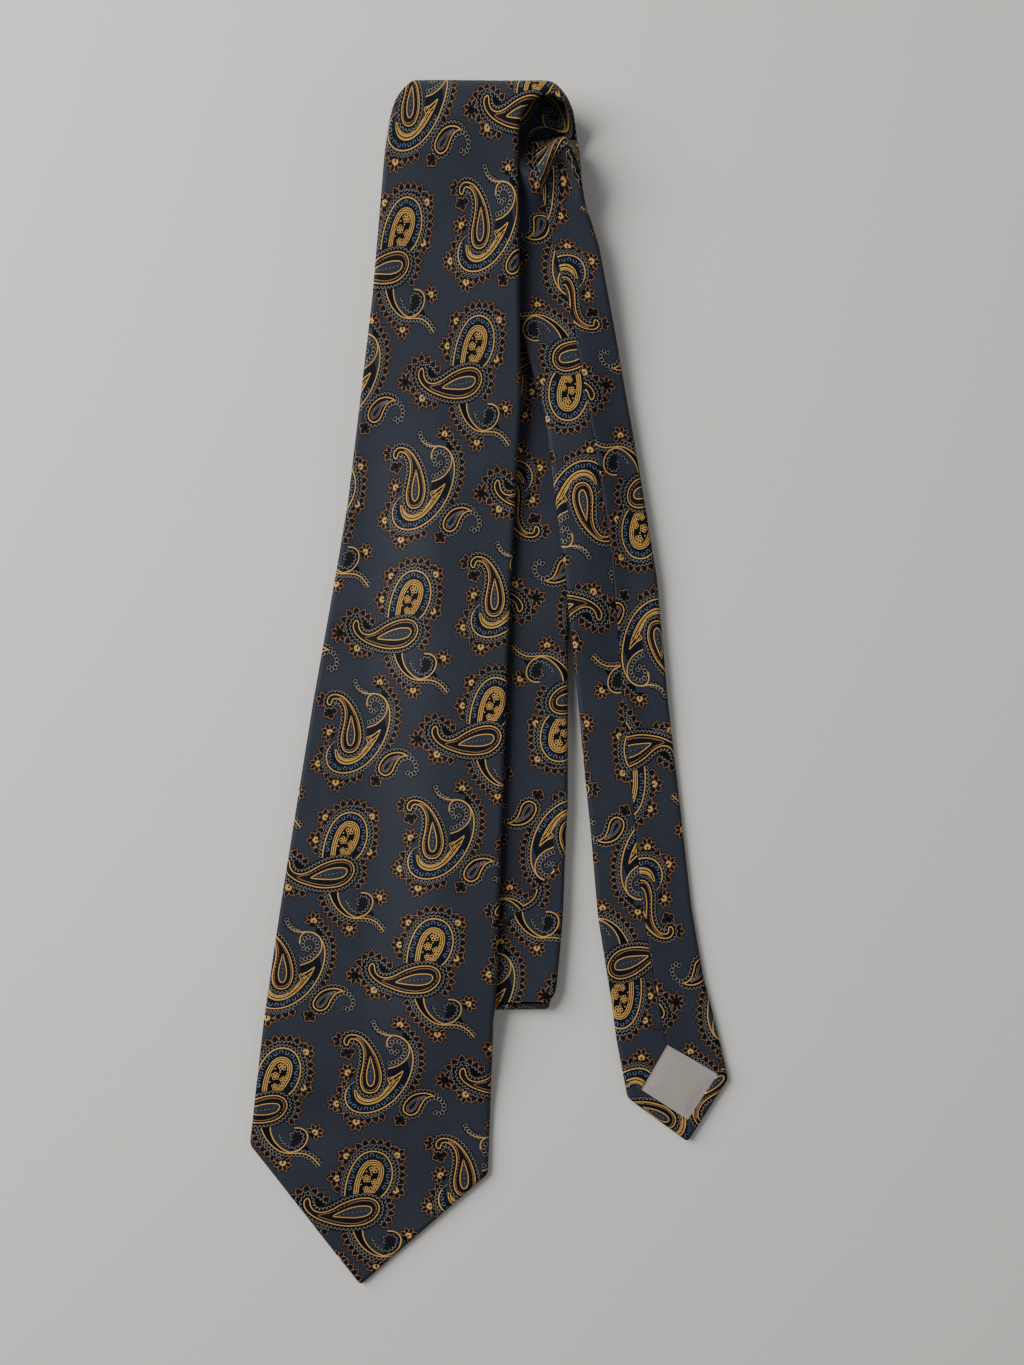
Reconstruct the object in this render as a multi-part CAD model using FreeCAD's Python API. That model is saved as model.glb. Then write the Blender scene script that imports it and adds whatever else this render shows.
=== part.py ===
import FreeCAD, Part
import math
import os

V = FreeCAD.Vector

# A silk necktie, doubled at its neck and folded back under itself so that it
# lies as four runs on a flat surface.  Millimetres, +Z up, +Y towards the two
# top folds, origin at the middle of the footprint on the surface.
# Runs, from the top down:
#   blade run   wide blade, printed face up
#   tail run    narrow blade, seam side up
#   neck run    face up, under the tail run
#   under run   seam side up, lowest, on the surface
# The blade run turns into the under run round the outer top fold, the neck run
# turns into the tail run round the inner top fold, and the neck fold joins the
# under run to the neck run at the lower end.

# ---- driving dimensions ----------------------------------------------------
SILK = 0.5                    # shell thickness
WOOL = 1.6                    # interlining thickness
TIE = 2 * SILK + WOOL         # pressed thickness of one run
LAYER_GAP = 0.3               # clear space between runs
SLIT = 0.5                    # gap between the two folded back edges
THREAD = 0.3                  # slip-stitch thread width
FIT = 0.05                    # room between shell and interlining

LENGTH_TOP = 212.35           # +Y end of the folded tie
FOLD_OUT_R = 10.8             # outer radius of the outer top fold
FOLD_IN_R = 6.0               # outer radius of the inner top fold
NECK_R = TIE + LAYER_GAP / 2  # outer radius of the pressed neck fold

BLADE_END_Y = 193.9           # where the blade run meets the outer fold
HINGE_GAP = 0.3
OUTER_C = (LENGTH_TOP - FOLD_OUT_R, FOLD_OUT_R)      # y, z of the outer fold
INNER_C = (200.85, 8.9)                              # y, z of the inner fold
NECK_C = (-109.0, NECK_R)                            # y, z of the neck fold
PIVOT = (16.1, 183.85)                               # tail swing, x, y

# height of each run's underside along Y
BLADE_Z = [(-220, 0), (-150, 0), (-114, 6.9), (64, 6.9), (BLADE_END_Y, 16.0), (215, 17.5)]
TAIL_Z = [(-220, 0), (-26, 0), (20, 5.8), (114, 5.8), (189, 12.3), (215, 12.3)]
NECK_Z = [(-220, TIE + LAYER_GAP), (220, TIE + LAYER_GAP)]
UNDER_Z = [(-220, 0), (220, 0)]

# plan outlines: left and right edges, from the lower end up
BLADE_TIP = (-46.3, -212.35)
BLADE_L = [(-86.0, -161.6), (-80.8, -119.7), (-73.9, -72.7), (-62.5, -2.0),
           (-50.0, 68.5), (-40.5, 138.1), (-35.6, BLADE_END_Y)]
BLADE_R = [(-0.2, -172.2), (1.7, -115.7), (5.0, -37.2), (7.5, 33.3),
           (11.3, 103.8), (10.4, 158.5), (10.1, BLADE_END_Y)]
UNDER_L = [(-11.0, NECK_C[0]), (-14.5, -60.0), (-18.5, 0.0), (-27.0, 110.0),
           (-34.5, OUTER_C[0])]
UNDER_R = [(22.2, NECK_C[0]), (21.0, -60.0), (19.0, 0.0), (13.5, 110.0),
           (10.3, OUTER_C[0])]
NECK_L = [(-11.0, NECK_C[0]), (-7.8, -79.5), (-6.0, -40.0), (-5.0, 16.0),
          (-2.0, 100.0), (1.0, INNER_C[0])]
NECK_RT = [(22.2, NECK_C[0]), (26.7, -79.5), (28.3, -40.0), (28.8, 16.0),
           (30.5, 100.0), (32.0, INNER_C[0])]
TAIL_TIP = (71.3, -160.7)
TAIL_L = [(49.6, -145.0), (43.4, -107.0), (39.1, -79.8), (36.6, -50.4),
          (33.0, -16.8), (30.5, 14.1), (27.1, 43.6), (23.4, 71.0),
          (19.8, 99.8), (12.4, 125.0), (3.2, 170.0), (0.9, PIVOT[1] - 2)]
TAIL_R = [(86.0, -138.1), (81.4, -118.1), (77.0, -101.7), (72.7, -76.6),
          (64.2, -2.1), (59.9, 41.5), (53.9, 79.1), (46.0, 122.8),
          (39.0, 158.3), (34.3, 172.3), (31.2, PIVOT[1] - 2)]
TAIL_END_R = 15.1             # rounded hidden end of the tail run

# lining windows on the seam side: upper corner, right, lower, left
BLADE_LINING = [(-37.4, -128.0), (-6.4, -163.5), (-45.6, -203.0), (-79.6, -152.4)]
TAIL_LINING = [(63.8, -125.6), (82.1, -136.3), (71.3, -152.7), (54.5, -141.7)]

KEEPER_Y, KEEPER_W, KEEPER_LEN = 10.0, 11.0, 48.0
LABEL_Y, LABEL_W, LABEL_LEN = -22.0, 24.0, 44.0
TACK_LEN, TACK_W = 7.0, 1.2
BIAS_SEAM = [(-40.0, -132.5), (60.0, -32.5)]   # 45 degree join on the neck run


# ---- helpers ---------------------------------------------------------------
def at(edge, y):
    """x of an edge polyline at y, held level past its ends."""
    if y <= edge[0][1]:
        return edge[0][0]
    for (x0, y0), (x1, y1) in zip(edge, edge[1:]):
        if y <= y1:
            return x0 + (x1 - x0) * (y - y0) / (y1 - y0)
    return edge[-1][0]


def prism(points, low=-60.0, high=60.0):
    """Upright prism over a plan polygon."""
    ring = [V(x, y, low) for x, y in points]
    face = Part.Face(Part.makePolygon(ring + ring[:1]))
    return face.extrude(V(0, 0, high - low))


def band(profile, low, high, x0=-120.0, x1=120.0):
    """Sheet between two heights above a run's underside."""
    pts = [V(x0, y, z + low) for y, z in profile]
    pts += [V(x0, y, z + high) for y, z in reversed(profile)]
    return Part.Face(Part.makePolygon(pts + pts[:1])).extrude(V(x1 - x0, 0, 0))


def plan(left, right, tip=None, inset=0.0, end=0.0):
    """Plan polygon of a run, drawn in by inset at its edges and its tip, with
    its upper end carried on by end."""
    lo = [(x + inset, y) for x, y in left]
    hi = [(x - inset, y) for x, y in right]
    if end:
        lo.append((lo[-1][0], lo[-1][1] + end))
        hi.append((hi[-1][0], hi[-1][1] + end))
    pts = lo[::-1]
    if tip:
        pts.append((tip[0], tip[1] + 1.6 * inset))
    elif end:
        pts += [(lo[0][0], lo[0][1] - end), (hi[0][0], hi[0][1] - end)]
    return pts + hi


def centre(left, right, y0, y1, steps=12):
    ys = [y0 + (y1 - y0) * i / steps for i in range(steps + 1)]
    return [((at(left, y) + at(right, y)) / 2, y) for y in ys]


def strip(line, width):
    """Plan polygon of a narrow strip along a centre line."""
    a = [(x - width / 2, y) for x, y in line]
    b = [(x + width / 2, y) for x, y in line]
    return a + b[::-1]


def run(outline, profile, seam, seam_up=False, window=None):
    """One run as (shell, interlining, slip-stitch thread).  The shell wraps the
    interlining, with a slit between its folded edges on the seam side.
    outline(inset, end) gives the plan polygon."""
    block = prism(outline(0.0, 0.0)).common(band(profile, 0, TIE))
    core = prism(outline(SILK, 3.0))
    shell = block.cut(core.common(band(profile, SILK, TIE - SILK)))
    low, high = (TIE - SILK - 0.2, TIE + 1) if seam_up else (-1, SILK + 0.2)
    shell = shell.cut(prism(strip(seam, SLIT)).common(band(profile, low, high)))
    if window:
        shell = shell.cut(prism(window).common(band(profile, low, high)))
    wool = prism(outline(SILK + FIT, 0.0)).common(
        band(profile, SILK + FIT, TIE - SILK - FIT))
    z = TIE - SILK + 0.1 if seam_up else 0.1
    thread = prism(strip(seam[:-1], THREAD)).common(band(profile, z, z + THREAD))
    return shell, wool, thread


def arc_band(centre_yz, r_in, r_out, x0, x1, top=None, start=0.0):
    """Half ring about an axis along X, open towards -Y or, for a negative
    start, towards +Y.  top carries the upper end down to (y, z)."""
    yc, zc = centre_yz
    side = -1.0 if start < 0 else 1.0

    def ring(radius):
        a = V(x0, yc, zc - radius)
        b = V(x0, yc + side * radius, zc)
        c = V(x0, yc, zc + radius)
        return a, b, c

    a0, b0, c0 = ring(r_out)
    a1, b1, c1 = ring(r_in)
    edges = [Part.Arc(a0, b0, c0).toShape(), Part.Arc(c1, b1, a1).toShape(),
             Part.makeLine(a1, a0)]
    if top:
        d0 = V(x0, top[0], top[1] + r_out - r_in)
        d1 = V(x0, top[0], top[1])
        edges += [Part.makeLine(c0, d0), Part.makeLine(d0, d1), Part.makeLine(d1, c1)]
    else:
        edges.append(Part.makeLine(c0, c1))
    face = Part.Face(Part.Wire(Part.__sortEdges__(edges)))
    return face.extrude(V(x1 - x0, 0, 0))


def fold(centre_yz, r_out, x0, x1, top=None, start=0.0):
    """One fold as (shell, interlining)."""
    block = arc_band(centre_yz, r_out - TIE, r_out, x0, x1, top, start)
    inner_top = (top[0], top[1] + SILK) if top else None
    core = arc_band(centre_yz, r_out - TIE + SILK, r_out - SILK,
                    x0 + SILK, x1 - SILK, inner_top, start)
    wool_top = (top[0], top[1] + SILK + FIT) if top else None
    wool = arc_band(centre_yz, r_out - TIE + SILK + FIT, r_out - SILK - FIT,
                    x0 + SILK + FIT, x1 - SILK - FIT, wool_top, start)
    return block.cut(core), wool


def solid(shape):
    """The one largest solid of a shape."""
    shape = shape.removeSplitter()
    return max(shape.Solids, key=lambda s: s.Volume)


# ---- blade run -------------------------------------------------------------
blade_seam = centre(BLADE_L, BLADE_R, -127.0, BLADE_END_Y)
blade_shell, blade_wool, blade_thread = run(
    lambda inset, end: plan(BLADE_L, BLADE_R, BLADE_TIP, inset, end),
    BLADE_Z, blade_seam, window=BLADE_LINING)
blade_lining = prism([(-37.4, -128.6), (-7.2, -163.6), (-45.6, -202.2), (-78.8, -152.5)])
blade_lining = blade_lining.common(band(BLADE_Z, 0.15, SILK))
keeper_x = (at(BLADE_L, KEEPER_Y) + at(BLADE_R, KEEPER_Y)) / 2


def under_blade(x, y, wide, tall, low, high):
    """Flat piece on the blade's seam side, at heights below its underside."""
    pts = [(x - wide / 2, y - tall / 2), (x + wide / 2, y - tall / 2),
           (x + wide / 2, y + tall / 2), (x - wide / 2, y + tall / 2)]
    return prism(pts).common(band(BLADE_Z, low, high))


keeper = under_blade(keeper_x, KEEPER_Y, KEEPER_LEN, KEEPER_W, -0.85, -0.35)
for side in (-1, 1):
    end_x = keeper_x + side * (KEEPER_LEN / 2 - 2.0)
    keeper = keeper.fuse(under_blade(end_x, KEEPER_Y, 4.0, KEEPER_W, -0.85, -0.02))
label_x = (at(BLADE_L, LABEL_Y) + at(BLADE_R, LABEL_Y)) / 2
label = under_blade(label_x, LABEL_Y, LABEL_LEN, LABEL_W, -0.35, -0.02)
tack_x = (at(BLADE_L, -124.0) + at(BLADE_R, -124.0)) / 2
blade_tack = under_blade(tack_x, -122.5, TACK_LEN, TACK_W, 0.0, SILK)
blade_shell = blade_shell.cut(under_blade(tack_x, -122.5, TACK_LEN, TACK_W, -1, SILK))
blade_thread = blade_thread.cut(under_blade(tack_x, -122.5, 9.0, 3.0, -1, 2))

# ---- tail run --------------------------------------------------------------
seam_pts = [(63.4, -124.5), (62.0, -117.0), (55.2, -77.3), (49.8, -18.2), (45.3, 29.3),
            (42.3, 57.7), (36.1, 96.6), (32.2, 118.9), (29.7, 133.9), (19.0, 176.0)]


def tail_plan(inset, end):
    """Plan of the tail run, with a rounded hidden end about its pivot."""
    x0, y0, radius = PIVOT[0], PIVOT[1] - 2, TAIL_END_R - inset
    end_arc = [(x0 - radius * math.cos(a), y0 + radius * math.sin(a))
               for a in [math.pi * i / 24 for i in range(25)]]
    pts = [(x + inset, y) for x, y in TAIL_L[:-1]][::-1]
    pts.append((TAIL_TIP[0], TAIL_TIP[1] + 1.6 * inset))
    pts += [(x - inset, y) for x, y in TAIL_R[:-1]]
    return pts + end_arc[::-1]


tail_shell, tail_wool, tail_thread = run(
    tail_plan, TAIL_Z, seam_pts, seam_up=True, window=TAIL_LINING)
tail_lining = prism([(63.8, -126.2), (81.2, -136.4), (71.3, -152.0), (55.4, -141.6)])
tail_lining = tail_lining.common(band(TAIL_Z, TIE - SILK, TIE - 0.15))


def on_tail(x, y, wide, tall, low, high):
    pts = [(x - wide / 2, y - tall / 2), (x + wide / 2, y - tall / 2),
           (x + wide / 2, y + tall / 2), (x - wide / 2, y + tall / 2)]
    return prism(pts).common(band(TAIL_Z, low, high))


tail_tack = on_tail(62.4, -119.5, TACK_LEN, TACK_W, TIE - SILK, TIE)
tail_shell = tail_shell.cut(on_tail(62.4, -119.5, TACK_LEN, TACK_W, TIE - SILK, TIE + 1))
tail_thread = tail_thread.cut(on_tail(62.4, -119.5, 9.0, 3.0, 0, TIE + 2))

# ---- under run and neck run ------------------------------------------------
under_seam = centre(UNDER_L, UNDER_R, NECK_C[0], OUTER_C[0])
under_shell, under_wool, under_thread = run(
    lambda inset, end: plan(UNDER_L, UNDER_R, None, inset, end),
    UNDER_Z, under_seam, seam_up=True)
neck_seam = centre(NECK_L, NECK_RT, NECK_C[0], INNER_C[0])
neck_all, neck_wool, neck_thread = run(
    lambda inset, end: plan(NECK_L, NECK_RT, None, inset, end), NECK_Z, neck_seam)
(bx0, by0), (bx1, by1) = BIAS_SEAM
below = prism([(bx0, by0 - 0.05), (bx1, by1 - 0.05), (bx1, -150), (bx0, -150)])
beyond = prism([(bx0, by0 + 0.05), (bx1, by1 + 0.05), (bx1, 230), (bx0, 230)])
blade_panel_end = neck_all.common(below)
neck_shell = neck_all.common(beyond)

# ---- folds -----------------------------------------------------------------
outer_shell, outer_wool = fold(
    OUTER_C, FOLD_OUT_R, UNDER_L[-1][0], UNDER_R[-1][0],
    top=(BLADE_END_Y + HINGE_GAP, 16.1))
inner_shell, inner_wool = fold(INNER_C, FOLD_IN_R, NECK_L[-1][0], NECK_RT[-1][0])
crease_shell, crease_wool = fold(NECK_C, NECK_R, NECK_L[0][0], NECK_RT[0][0], start=-1.0)

NODES = {
    "blade_shell": blade_shell,
    "blade_interlining": blade_wool,
    "blade_lining": blade_lining,
    "blade_slip_stitch": blade_thread,
    "blade_bar_tack": blade_tack,
    "keeper_loop": keeper,
    "blank_label": label,
    "outer_fold_shell": outer_shell,
    "outer_fold_interlining": outer_wool,
    "under_run_shell": under_shell,
    "under_run_interlining": under_wool,
    "under_run_slip_stitch": under_thread,
    "neck_fold_shell": crease_shell,
    "neck_fold_interlining": crease_wool,
    "blade_panel_end": blade_panel_end,
    "neck_shell": neck_shell,
    "neck_interlining": neck_wool,
    "neck_slip_stitch": neck_thread,
    "inner_fold_shell": inner_shell,
    "inner_fold_interlining": inner_wool,
    "tail_shell": tail_shell,
    "tail_interlining": tail_wool,
    "tail_lining": tail_lining,
    "tail_slip_stitch": tail_thread,
    "tail_bar_tack": tail_tack,
}

os.makedirs("parts", exist_ok=True)
for name, shape in NODES.items():
    body = shape if name.endswith("slip_stitch") else solid(shape)
    body.exportStep("parts/%s.step" % name)
    box = body.BoundBox
    print("%-24s solids %d valid %s volume %9.1f  x %7.2f %7.2f  y %8.2f %8.2f  z %6.2f %6.2f" % (
        name, len(body.Solids), body.isValid(), body.Volume,
        box.XMin, box.XMax, box.YMin, box.YMax, box.ZMin, box.ZMax))
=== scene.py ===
import math

import bpy
import numpy as np
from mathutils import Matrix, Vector
from mathutils.geometry import delaunay_2d_cdt
from mathutils.kdtree import KDTree


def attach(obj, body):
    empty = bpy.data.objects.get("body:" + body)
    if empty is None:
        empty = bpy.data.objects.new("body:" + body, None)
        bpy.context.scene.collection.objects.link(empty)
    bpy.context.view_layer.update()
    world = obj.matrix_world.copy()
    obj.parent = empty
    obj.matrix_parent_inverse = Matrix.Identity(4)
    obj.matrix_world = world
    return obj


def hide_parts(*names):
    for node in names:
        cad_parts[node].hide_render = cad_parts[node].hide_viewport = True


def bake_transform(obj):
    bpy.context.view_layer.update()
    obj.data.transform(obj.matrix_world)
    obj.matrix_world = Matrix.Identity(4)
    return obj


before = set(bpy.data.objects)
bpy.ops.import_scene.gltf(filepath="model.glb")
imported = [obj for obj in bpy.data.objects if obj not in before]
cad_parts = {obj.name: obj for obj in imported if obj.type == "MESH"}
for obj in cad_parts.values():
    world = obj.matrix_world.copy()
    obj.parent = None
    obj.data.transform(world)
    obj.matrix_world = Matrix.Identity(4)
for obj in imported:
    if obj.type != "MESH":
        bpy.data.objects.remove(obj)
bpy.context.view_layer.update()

# A printed silk necktie, doubled at its neck and folded back under itself.
# Everything is worked out in millimetres in the row frame and scaled at the end.
MM = 0.001

# the print's inks, in the order of the silk's materials
GROUND, BLACK, GOLD, COPPER, GREY, BLUE, NAVY, SLATE, DUSK = range(9)

# ---- the print: two drops, their bands, curls and flowers -------------------
# each line's points as x,y in mm, y up the tie, about the middle of the first drop
CURVES = {
    "drop": "-0.5,-7.7 -2.4,-7 -3.5,-5.1 -3.8,-2.1 -3.2,1.5 -2.8,4.8 -3.1,7.8 -4.3,10.1 -6,11.2 -7.4,11.2 "
            "-7.9,10.1 -8.2,9.2 -9.1,9.2 -9.8,10.1 -9.6,11.7 -8.1,13 -5.7,13 -3.3,12 -0.9,9.7 1.5,6 3,2.1 "
            "3.7,-1.8 3.1,-5.1 1.7,-7.1",
    "drop_line": "-0.5,-6.7 -2.1,-6.2 -2.8,-4.7 -3,-2.1 -2.5,1.2 -1.9,4.5 -2.2,7.8 -3.5,10.5 -5.7,12 "
                 "-3,11 -0.9,8.7 0.9,5.4 2.3,1.8 2.9,-1.8 2.6,-4.2 1.5,-6",
    "drop_heart": "-0.4,5.5 -1,3.3 -1.6,0.3 -1.7,-2.4 -1.2,-4.5 -0.2,-5.3 0.9,-4.5 1.4,-2.4 1.2,0.3 "
                  "0.4,3.3",
    "u_line": "-5.7,-3.5 -7.5,-5.2 -8.6,-7.5 -8.6,-10.2 -7.5,-12.6 -5.4,-14.2 -2.4,-14.8 1.2,-14.3 "
              "4.8,-12.6 8.1,-9.9 11.1,-6 13.2,-1.5 14.3,3 14.2,7.2 12.9,10.5 10.8,12.5 8.4,13.2 6,13.2 "
              "3.6,13.7 2,14.5 0.7,15.7",
    "u_curl": "7.2,13.2 5.9,12.2 5.3,10.5 5.4,8.9",
    "u_loop": "10.2,12.7 12.1,11.4 13.1,9.3 12.9,6.6 11.4,4.2 9,2.4 5.9,1.3",
    "u_band_in": "11.7,0.9 10.2,-1.8 7.8,-4.8 4.8,-7.8 1.8,-10.2 -1.8,-11.1 -4.8,-9.9 -6.3,-7.2 -6.3,-4.8",
    "u_curls": "-7.3,-5.5 -7.7,-8.7 -6,-12 -2.4,-13.3 1.5,-12.6 4.8,-10.8 8.1,-7.8 10.8,-4.2 12.5,0 "
               "13.3,3.9",
    "horn_out": "-5.7,-6.3 -5.5,-8.7 -4.2,-10.8 -1.8,-11.8 1.2,-11.4 4.2,-9.7 7.2,-6.6 9.6,-3 11.5,1.2",
    "horn_in": "11.5,1.2 8.1,-1.2 5.5,-2.3 6.3,-4.2 4.8,-6.7 2.7,-8.9 0.3,-10.1 -2.4,-10 -4.1,-8.7 "
               "-4.7,-6.9",
    "horn_mid": "-5.2,-7.2 -4.5,-9.5 -2,-10.9 0.9,-10.7 3.7,-9 6.5,-6 8.7,-3",
    "outer_u": "-7.5,-4.2 -10.2,-7.2 -10.5,-11.4 -8.4,-14.7 -4.8,-16.5 0,-16.8 4.8,-15",
    "outer_right": "11.1,16.2 14.1,13.2 16.2,9.6 16.5,5.4 16.2,1.2 14.7,-3 12.9,-6",
    "swirl": "5.7,3 8.7,3.9 11.1,6 11.7,8.7 10.2,10.8 7.8,11.4 6.5,9.9 6.6,7.5 8.4,6.9 9.3,8.3",
    "tail_up": "5.4,13.3 3,14.1 0.9,16.2 0.1,18.3",
    "sat": "22.1,-8.7 19.8,-7.5 17.1,-7.3 14.4,-8.1 12.3,-9.9 11,-12.3 11.2,-14.4 12.9,-15.7 14.7,-15.6 "
           "16.3,-14.3 17.3,-12 18.6,-9.9 20.3,-8.9",
    "sat_heart": "19.1,-8.5 15.9,-9.1 13.5,-10.8 12.1,-12.7 12.6,-14.4 14.2,-14.4 15.6,-12.9 16.8,-10.5",
    "sat_hook": "21.6,-8.7 24,-10.1 25.1,-12.6 24.5,-14.7 22.8,-15.3 21.5,-14.1",
    "arch": "-8.2,-45.1 -7.9,-41.7 -7.1,-37.8 -5.4,-33.6 -3,-30.5 0,-29 3,-29.2 5.5,-30.7 7.2,-33.6 "
            "7.7,-36.9 7.2,-40.2 5.7,-43.5 3.9,-45.5",
    "arch_curls": "-6.7,-43.2 -6.1,-39 -4.5,-34.5 -1.8,-31.2 1.8,-30.3 4.8,-32.1 6.4,-35.4 6.1,-39.3 "
                  "4.7,-42.9",
    "arch_in": "-5.5,-44.3 -5,-40.2 -3.9,-36.3 -2.1,-33.3 0.3,-31.9 3,-32.3 4.7,-34.2 5,-36.9 4.3,-39.9 "
               "3.1,-42.3 2.1,-43.9",
    "drop2": "-20.4,-45.7 -21.7,-46.8 -21.7,-48.9 -20.1,-51.3 -17.1,-53.4 -13.2,-54.9 -9,-55.9 -4.8,-56 "
             "-0.9,-55.2 2.1,-53.1 3.6,-50.1 3,-47.4 0.9,-45.9 -1.8,-45.6 -5.4,-46.3 -9,-47.8 -12.6,-49.9 "
             "-15.6,-50.8 -18,-50.2 -19.3,-48.5 -19.6,-46.8",
    "drop2_line": "-16.8,-52.1 -13.2,-53.7 -9,-54.7 -4.8,-55 -1.2,-54 1.5,-51.9 2.5,-49.5 1.5,-47.4 "
                  "-1.2,-46.7 -4.8,-47.3 -8.4,-48.9 -12.6,-51",
    "drop2_heart": "-12.1,-52.3 -9,-50.4 -5.4,-49 -1.8,-48.5 0.6,-48.9 1.1,-50.4 -0.3,-52.1 -3.6,-53 "
                   "-7.5,-53 -10.2,-52.8",
    "tail_1": "-5.3,-57.3 -3.9,-60.6 -1.8,-63.6 1.2,-66 4.2,-66.9 7.2,-66.9 10.2,-67.2 12.9,-68.7 "
              "15.3,-71.4",
    "tail_2": "-2.1,-56.7 -1.7,-59.7 -0.3,-62.7 2.4,-65.4 4.8,-66.6",
    "tail_loop": "4.2,-66.7 7.5,-66 9.9,-63.9 10.8,-61.2 10.2,-59.1 8.4,-57.9 6.3,-57.7",
    "swirl2": "1.5,-60 3,-63 6,-64.5 8.4,-63 8.9,-60.6 7.2,-59.4 5.5,-60.3 5.9,-62.1",
    "outer_arch": "-9.9,-43.8 -9.6,-39.6 -8.3,-34.8 -5.7,-30.3 -2.4,-27 1.5,-26.3 5.7,-27 8.7,-30.3 "
                  "10.2,-34.5 10.2,-39 9,-43.2",
    "outer_drop2": "-13.8,-47.7 -17.1,-45 -21,-43.2 -24.6,-45.6 -24.6,-49.5 -22.5,-53.1 -18.3,-55.8 "
                   "-13.2,-57.6",
    "outer_drop2b": "5.4,-45.9 6.6,-49.2 6.1,-52.8 3.9,-55.8",
    "outer_tail": "-7.5,-58.2 -6,-61.8 -3.6,-65.1 -0.6,-67.8 2.7,-69.3",
}
# x, y, the way it faces in degrees, its petals, its reach, and 1 for a gold heart
FLOWERS = [
    (-11.1, 11.1, 170, 6, 2.3, 0), (-8.4, 6.9, 250, 5, 2.2, 0), (-8.1, -0.3, 140, 7, 2.6, 1),
    (-11.7, -11.5, 190, 7, 2.6, 1), (-4.8, -18.2, 265, 7, 2.8, 1), (10.2, -17.4, 270, 5, 2, 0),
    (9.9, 17.3, 75, 7, 2.6, 1), (-7.9, -30.6, 150, 6, 2.5, 1), (9.3, -30.3, 40, 6, 2.5, 1),
    (-10.9, -38.7, 185, 6, 2.6, 1), (8.9, -43.1, -20, 6, 2.6, 1), (-26.7, -50.4, 185, 7, 2.8, 0),
    (-19.7, -55.8, 230, 7, 2.8, 1), (13.3, -59.3, 40, 7, 2.5, 1), (2.7, -70.5, 270, 7, 2.6, 1),
]
# the two steps that repeat the print
REPEAT_A = np.array([32.0, -37.2])
REPEAT_C = np.array([-52.0, -47.8])
GOLD_LINE = 0.44              # widths of the drawn lines
FINE_LINE = 0.40
HORN_LINE = 0.27
CURL_LINE = 0.30
BEAD_LINE = 0.22
PETAL = 2.35                  # pitch and height of the petals round each motif
SCALLOP = 1.35                # pitch of the small scallops at their foot


def curve(name):
    return np.array([[float(v) for v in p.split(",")] for p in CURVES[name].split()])


def spline(points, closed=False, step=0.5):
    """Catmull-Rom line through points, sampled about every step mm."""
    p = np.asarray(points, float)
    if closed:
        q = np.vstack([p[-1:], p, p[:2]])
    else:
        q = np.vstack([2 * p[:1] - p[1:2], p, 2 * p[-1:] - p[-2:-1]])
    t = np.linspace(0, 1, 12, endpoint=False)[:, None]
    out = []
    for i in range(len(q) - 3):
        a, b, c, d = q[i:i + 4]
        out.append(0.5 * ((2 * b) + (c - a) * t + (2 * a - 5 * b + 4 * c - d) * t**2
                          + (3 * b - a - 3 * c + d) * t**3))
    out = np.vstack(out + [q[-2:-1]])
    run = np.r_[0, np.cumsum(np.linalg.norm(np.diff(out, axis=0), axis=1))]
    n = max(3, int(round(run[-1] / step)))
    at = np.linspace(0, run[-1], n + 1)
    line = np.column_stack([np.interp(at, run, out[:, k]) for k in (0, 1)])
    return line[:-1] if closed else line


def normals(line, closed=False):
    """Unit normals to the right of travel."""
    if closed:
        t = np.roll(line, -1, 0) - np.roll(line, 1, 0)
    else:
        t = np.gradient(line, axis=0)
    t /= np.maximum(np.linalg.norm(t, axis=1), 1e-9)[:, None]
    return np.column_stack([t[:, 1], -t[:, 0]])


def offset(line, d, closed=False):
    return line + normals(line, closed) * d


def orient(line):
    """Closed line turned so that its right-hand side is the outside."""
    area = np.sum(line[:, 0] * np.roll(line[:, 1], -1) - np.roll(line[:, 0], -1) * line[:, 1])
    return line if area > 0 else line[::-1]


def flip(line):
    return line[::-1]


def part(line, a, b):
    """The stretch of a line between two shares of its length."""
    last = len(line) - 1
    return line[int(a * last):int(b * last) + 1]


def shape(name, closed=False, step=0.5):
    line = spline(curve(name), closed, step)
    return orient(line) if closed else line


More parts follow.
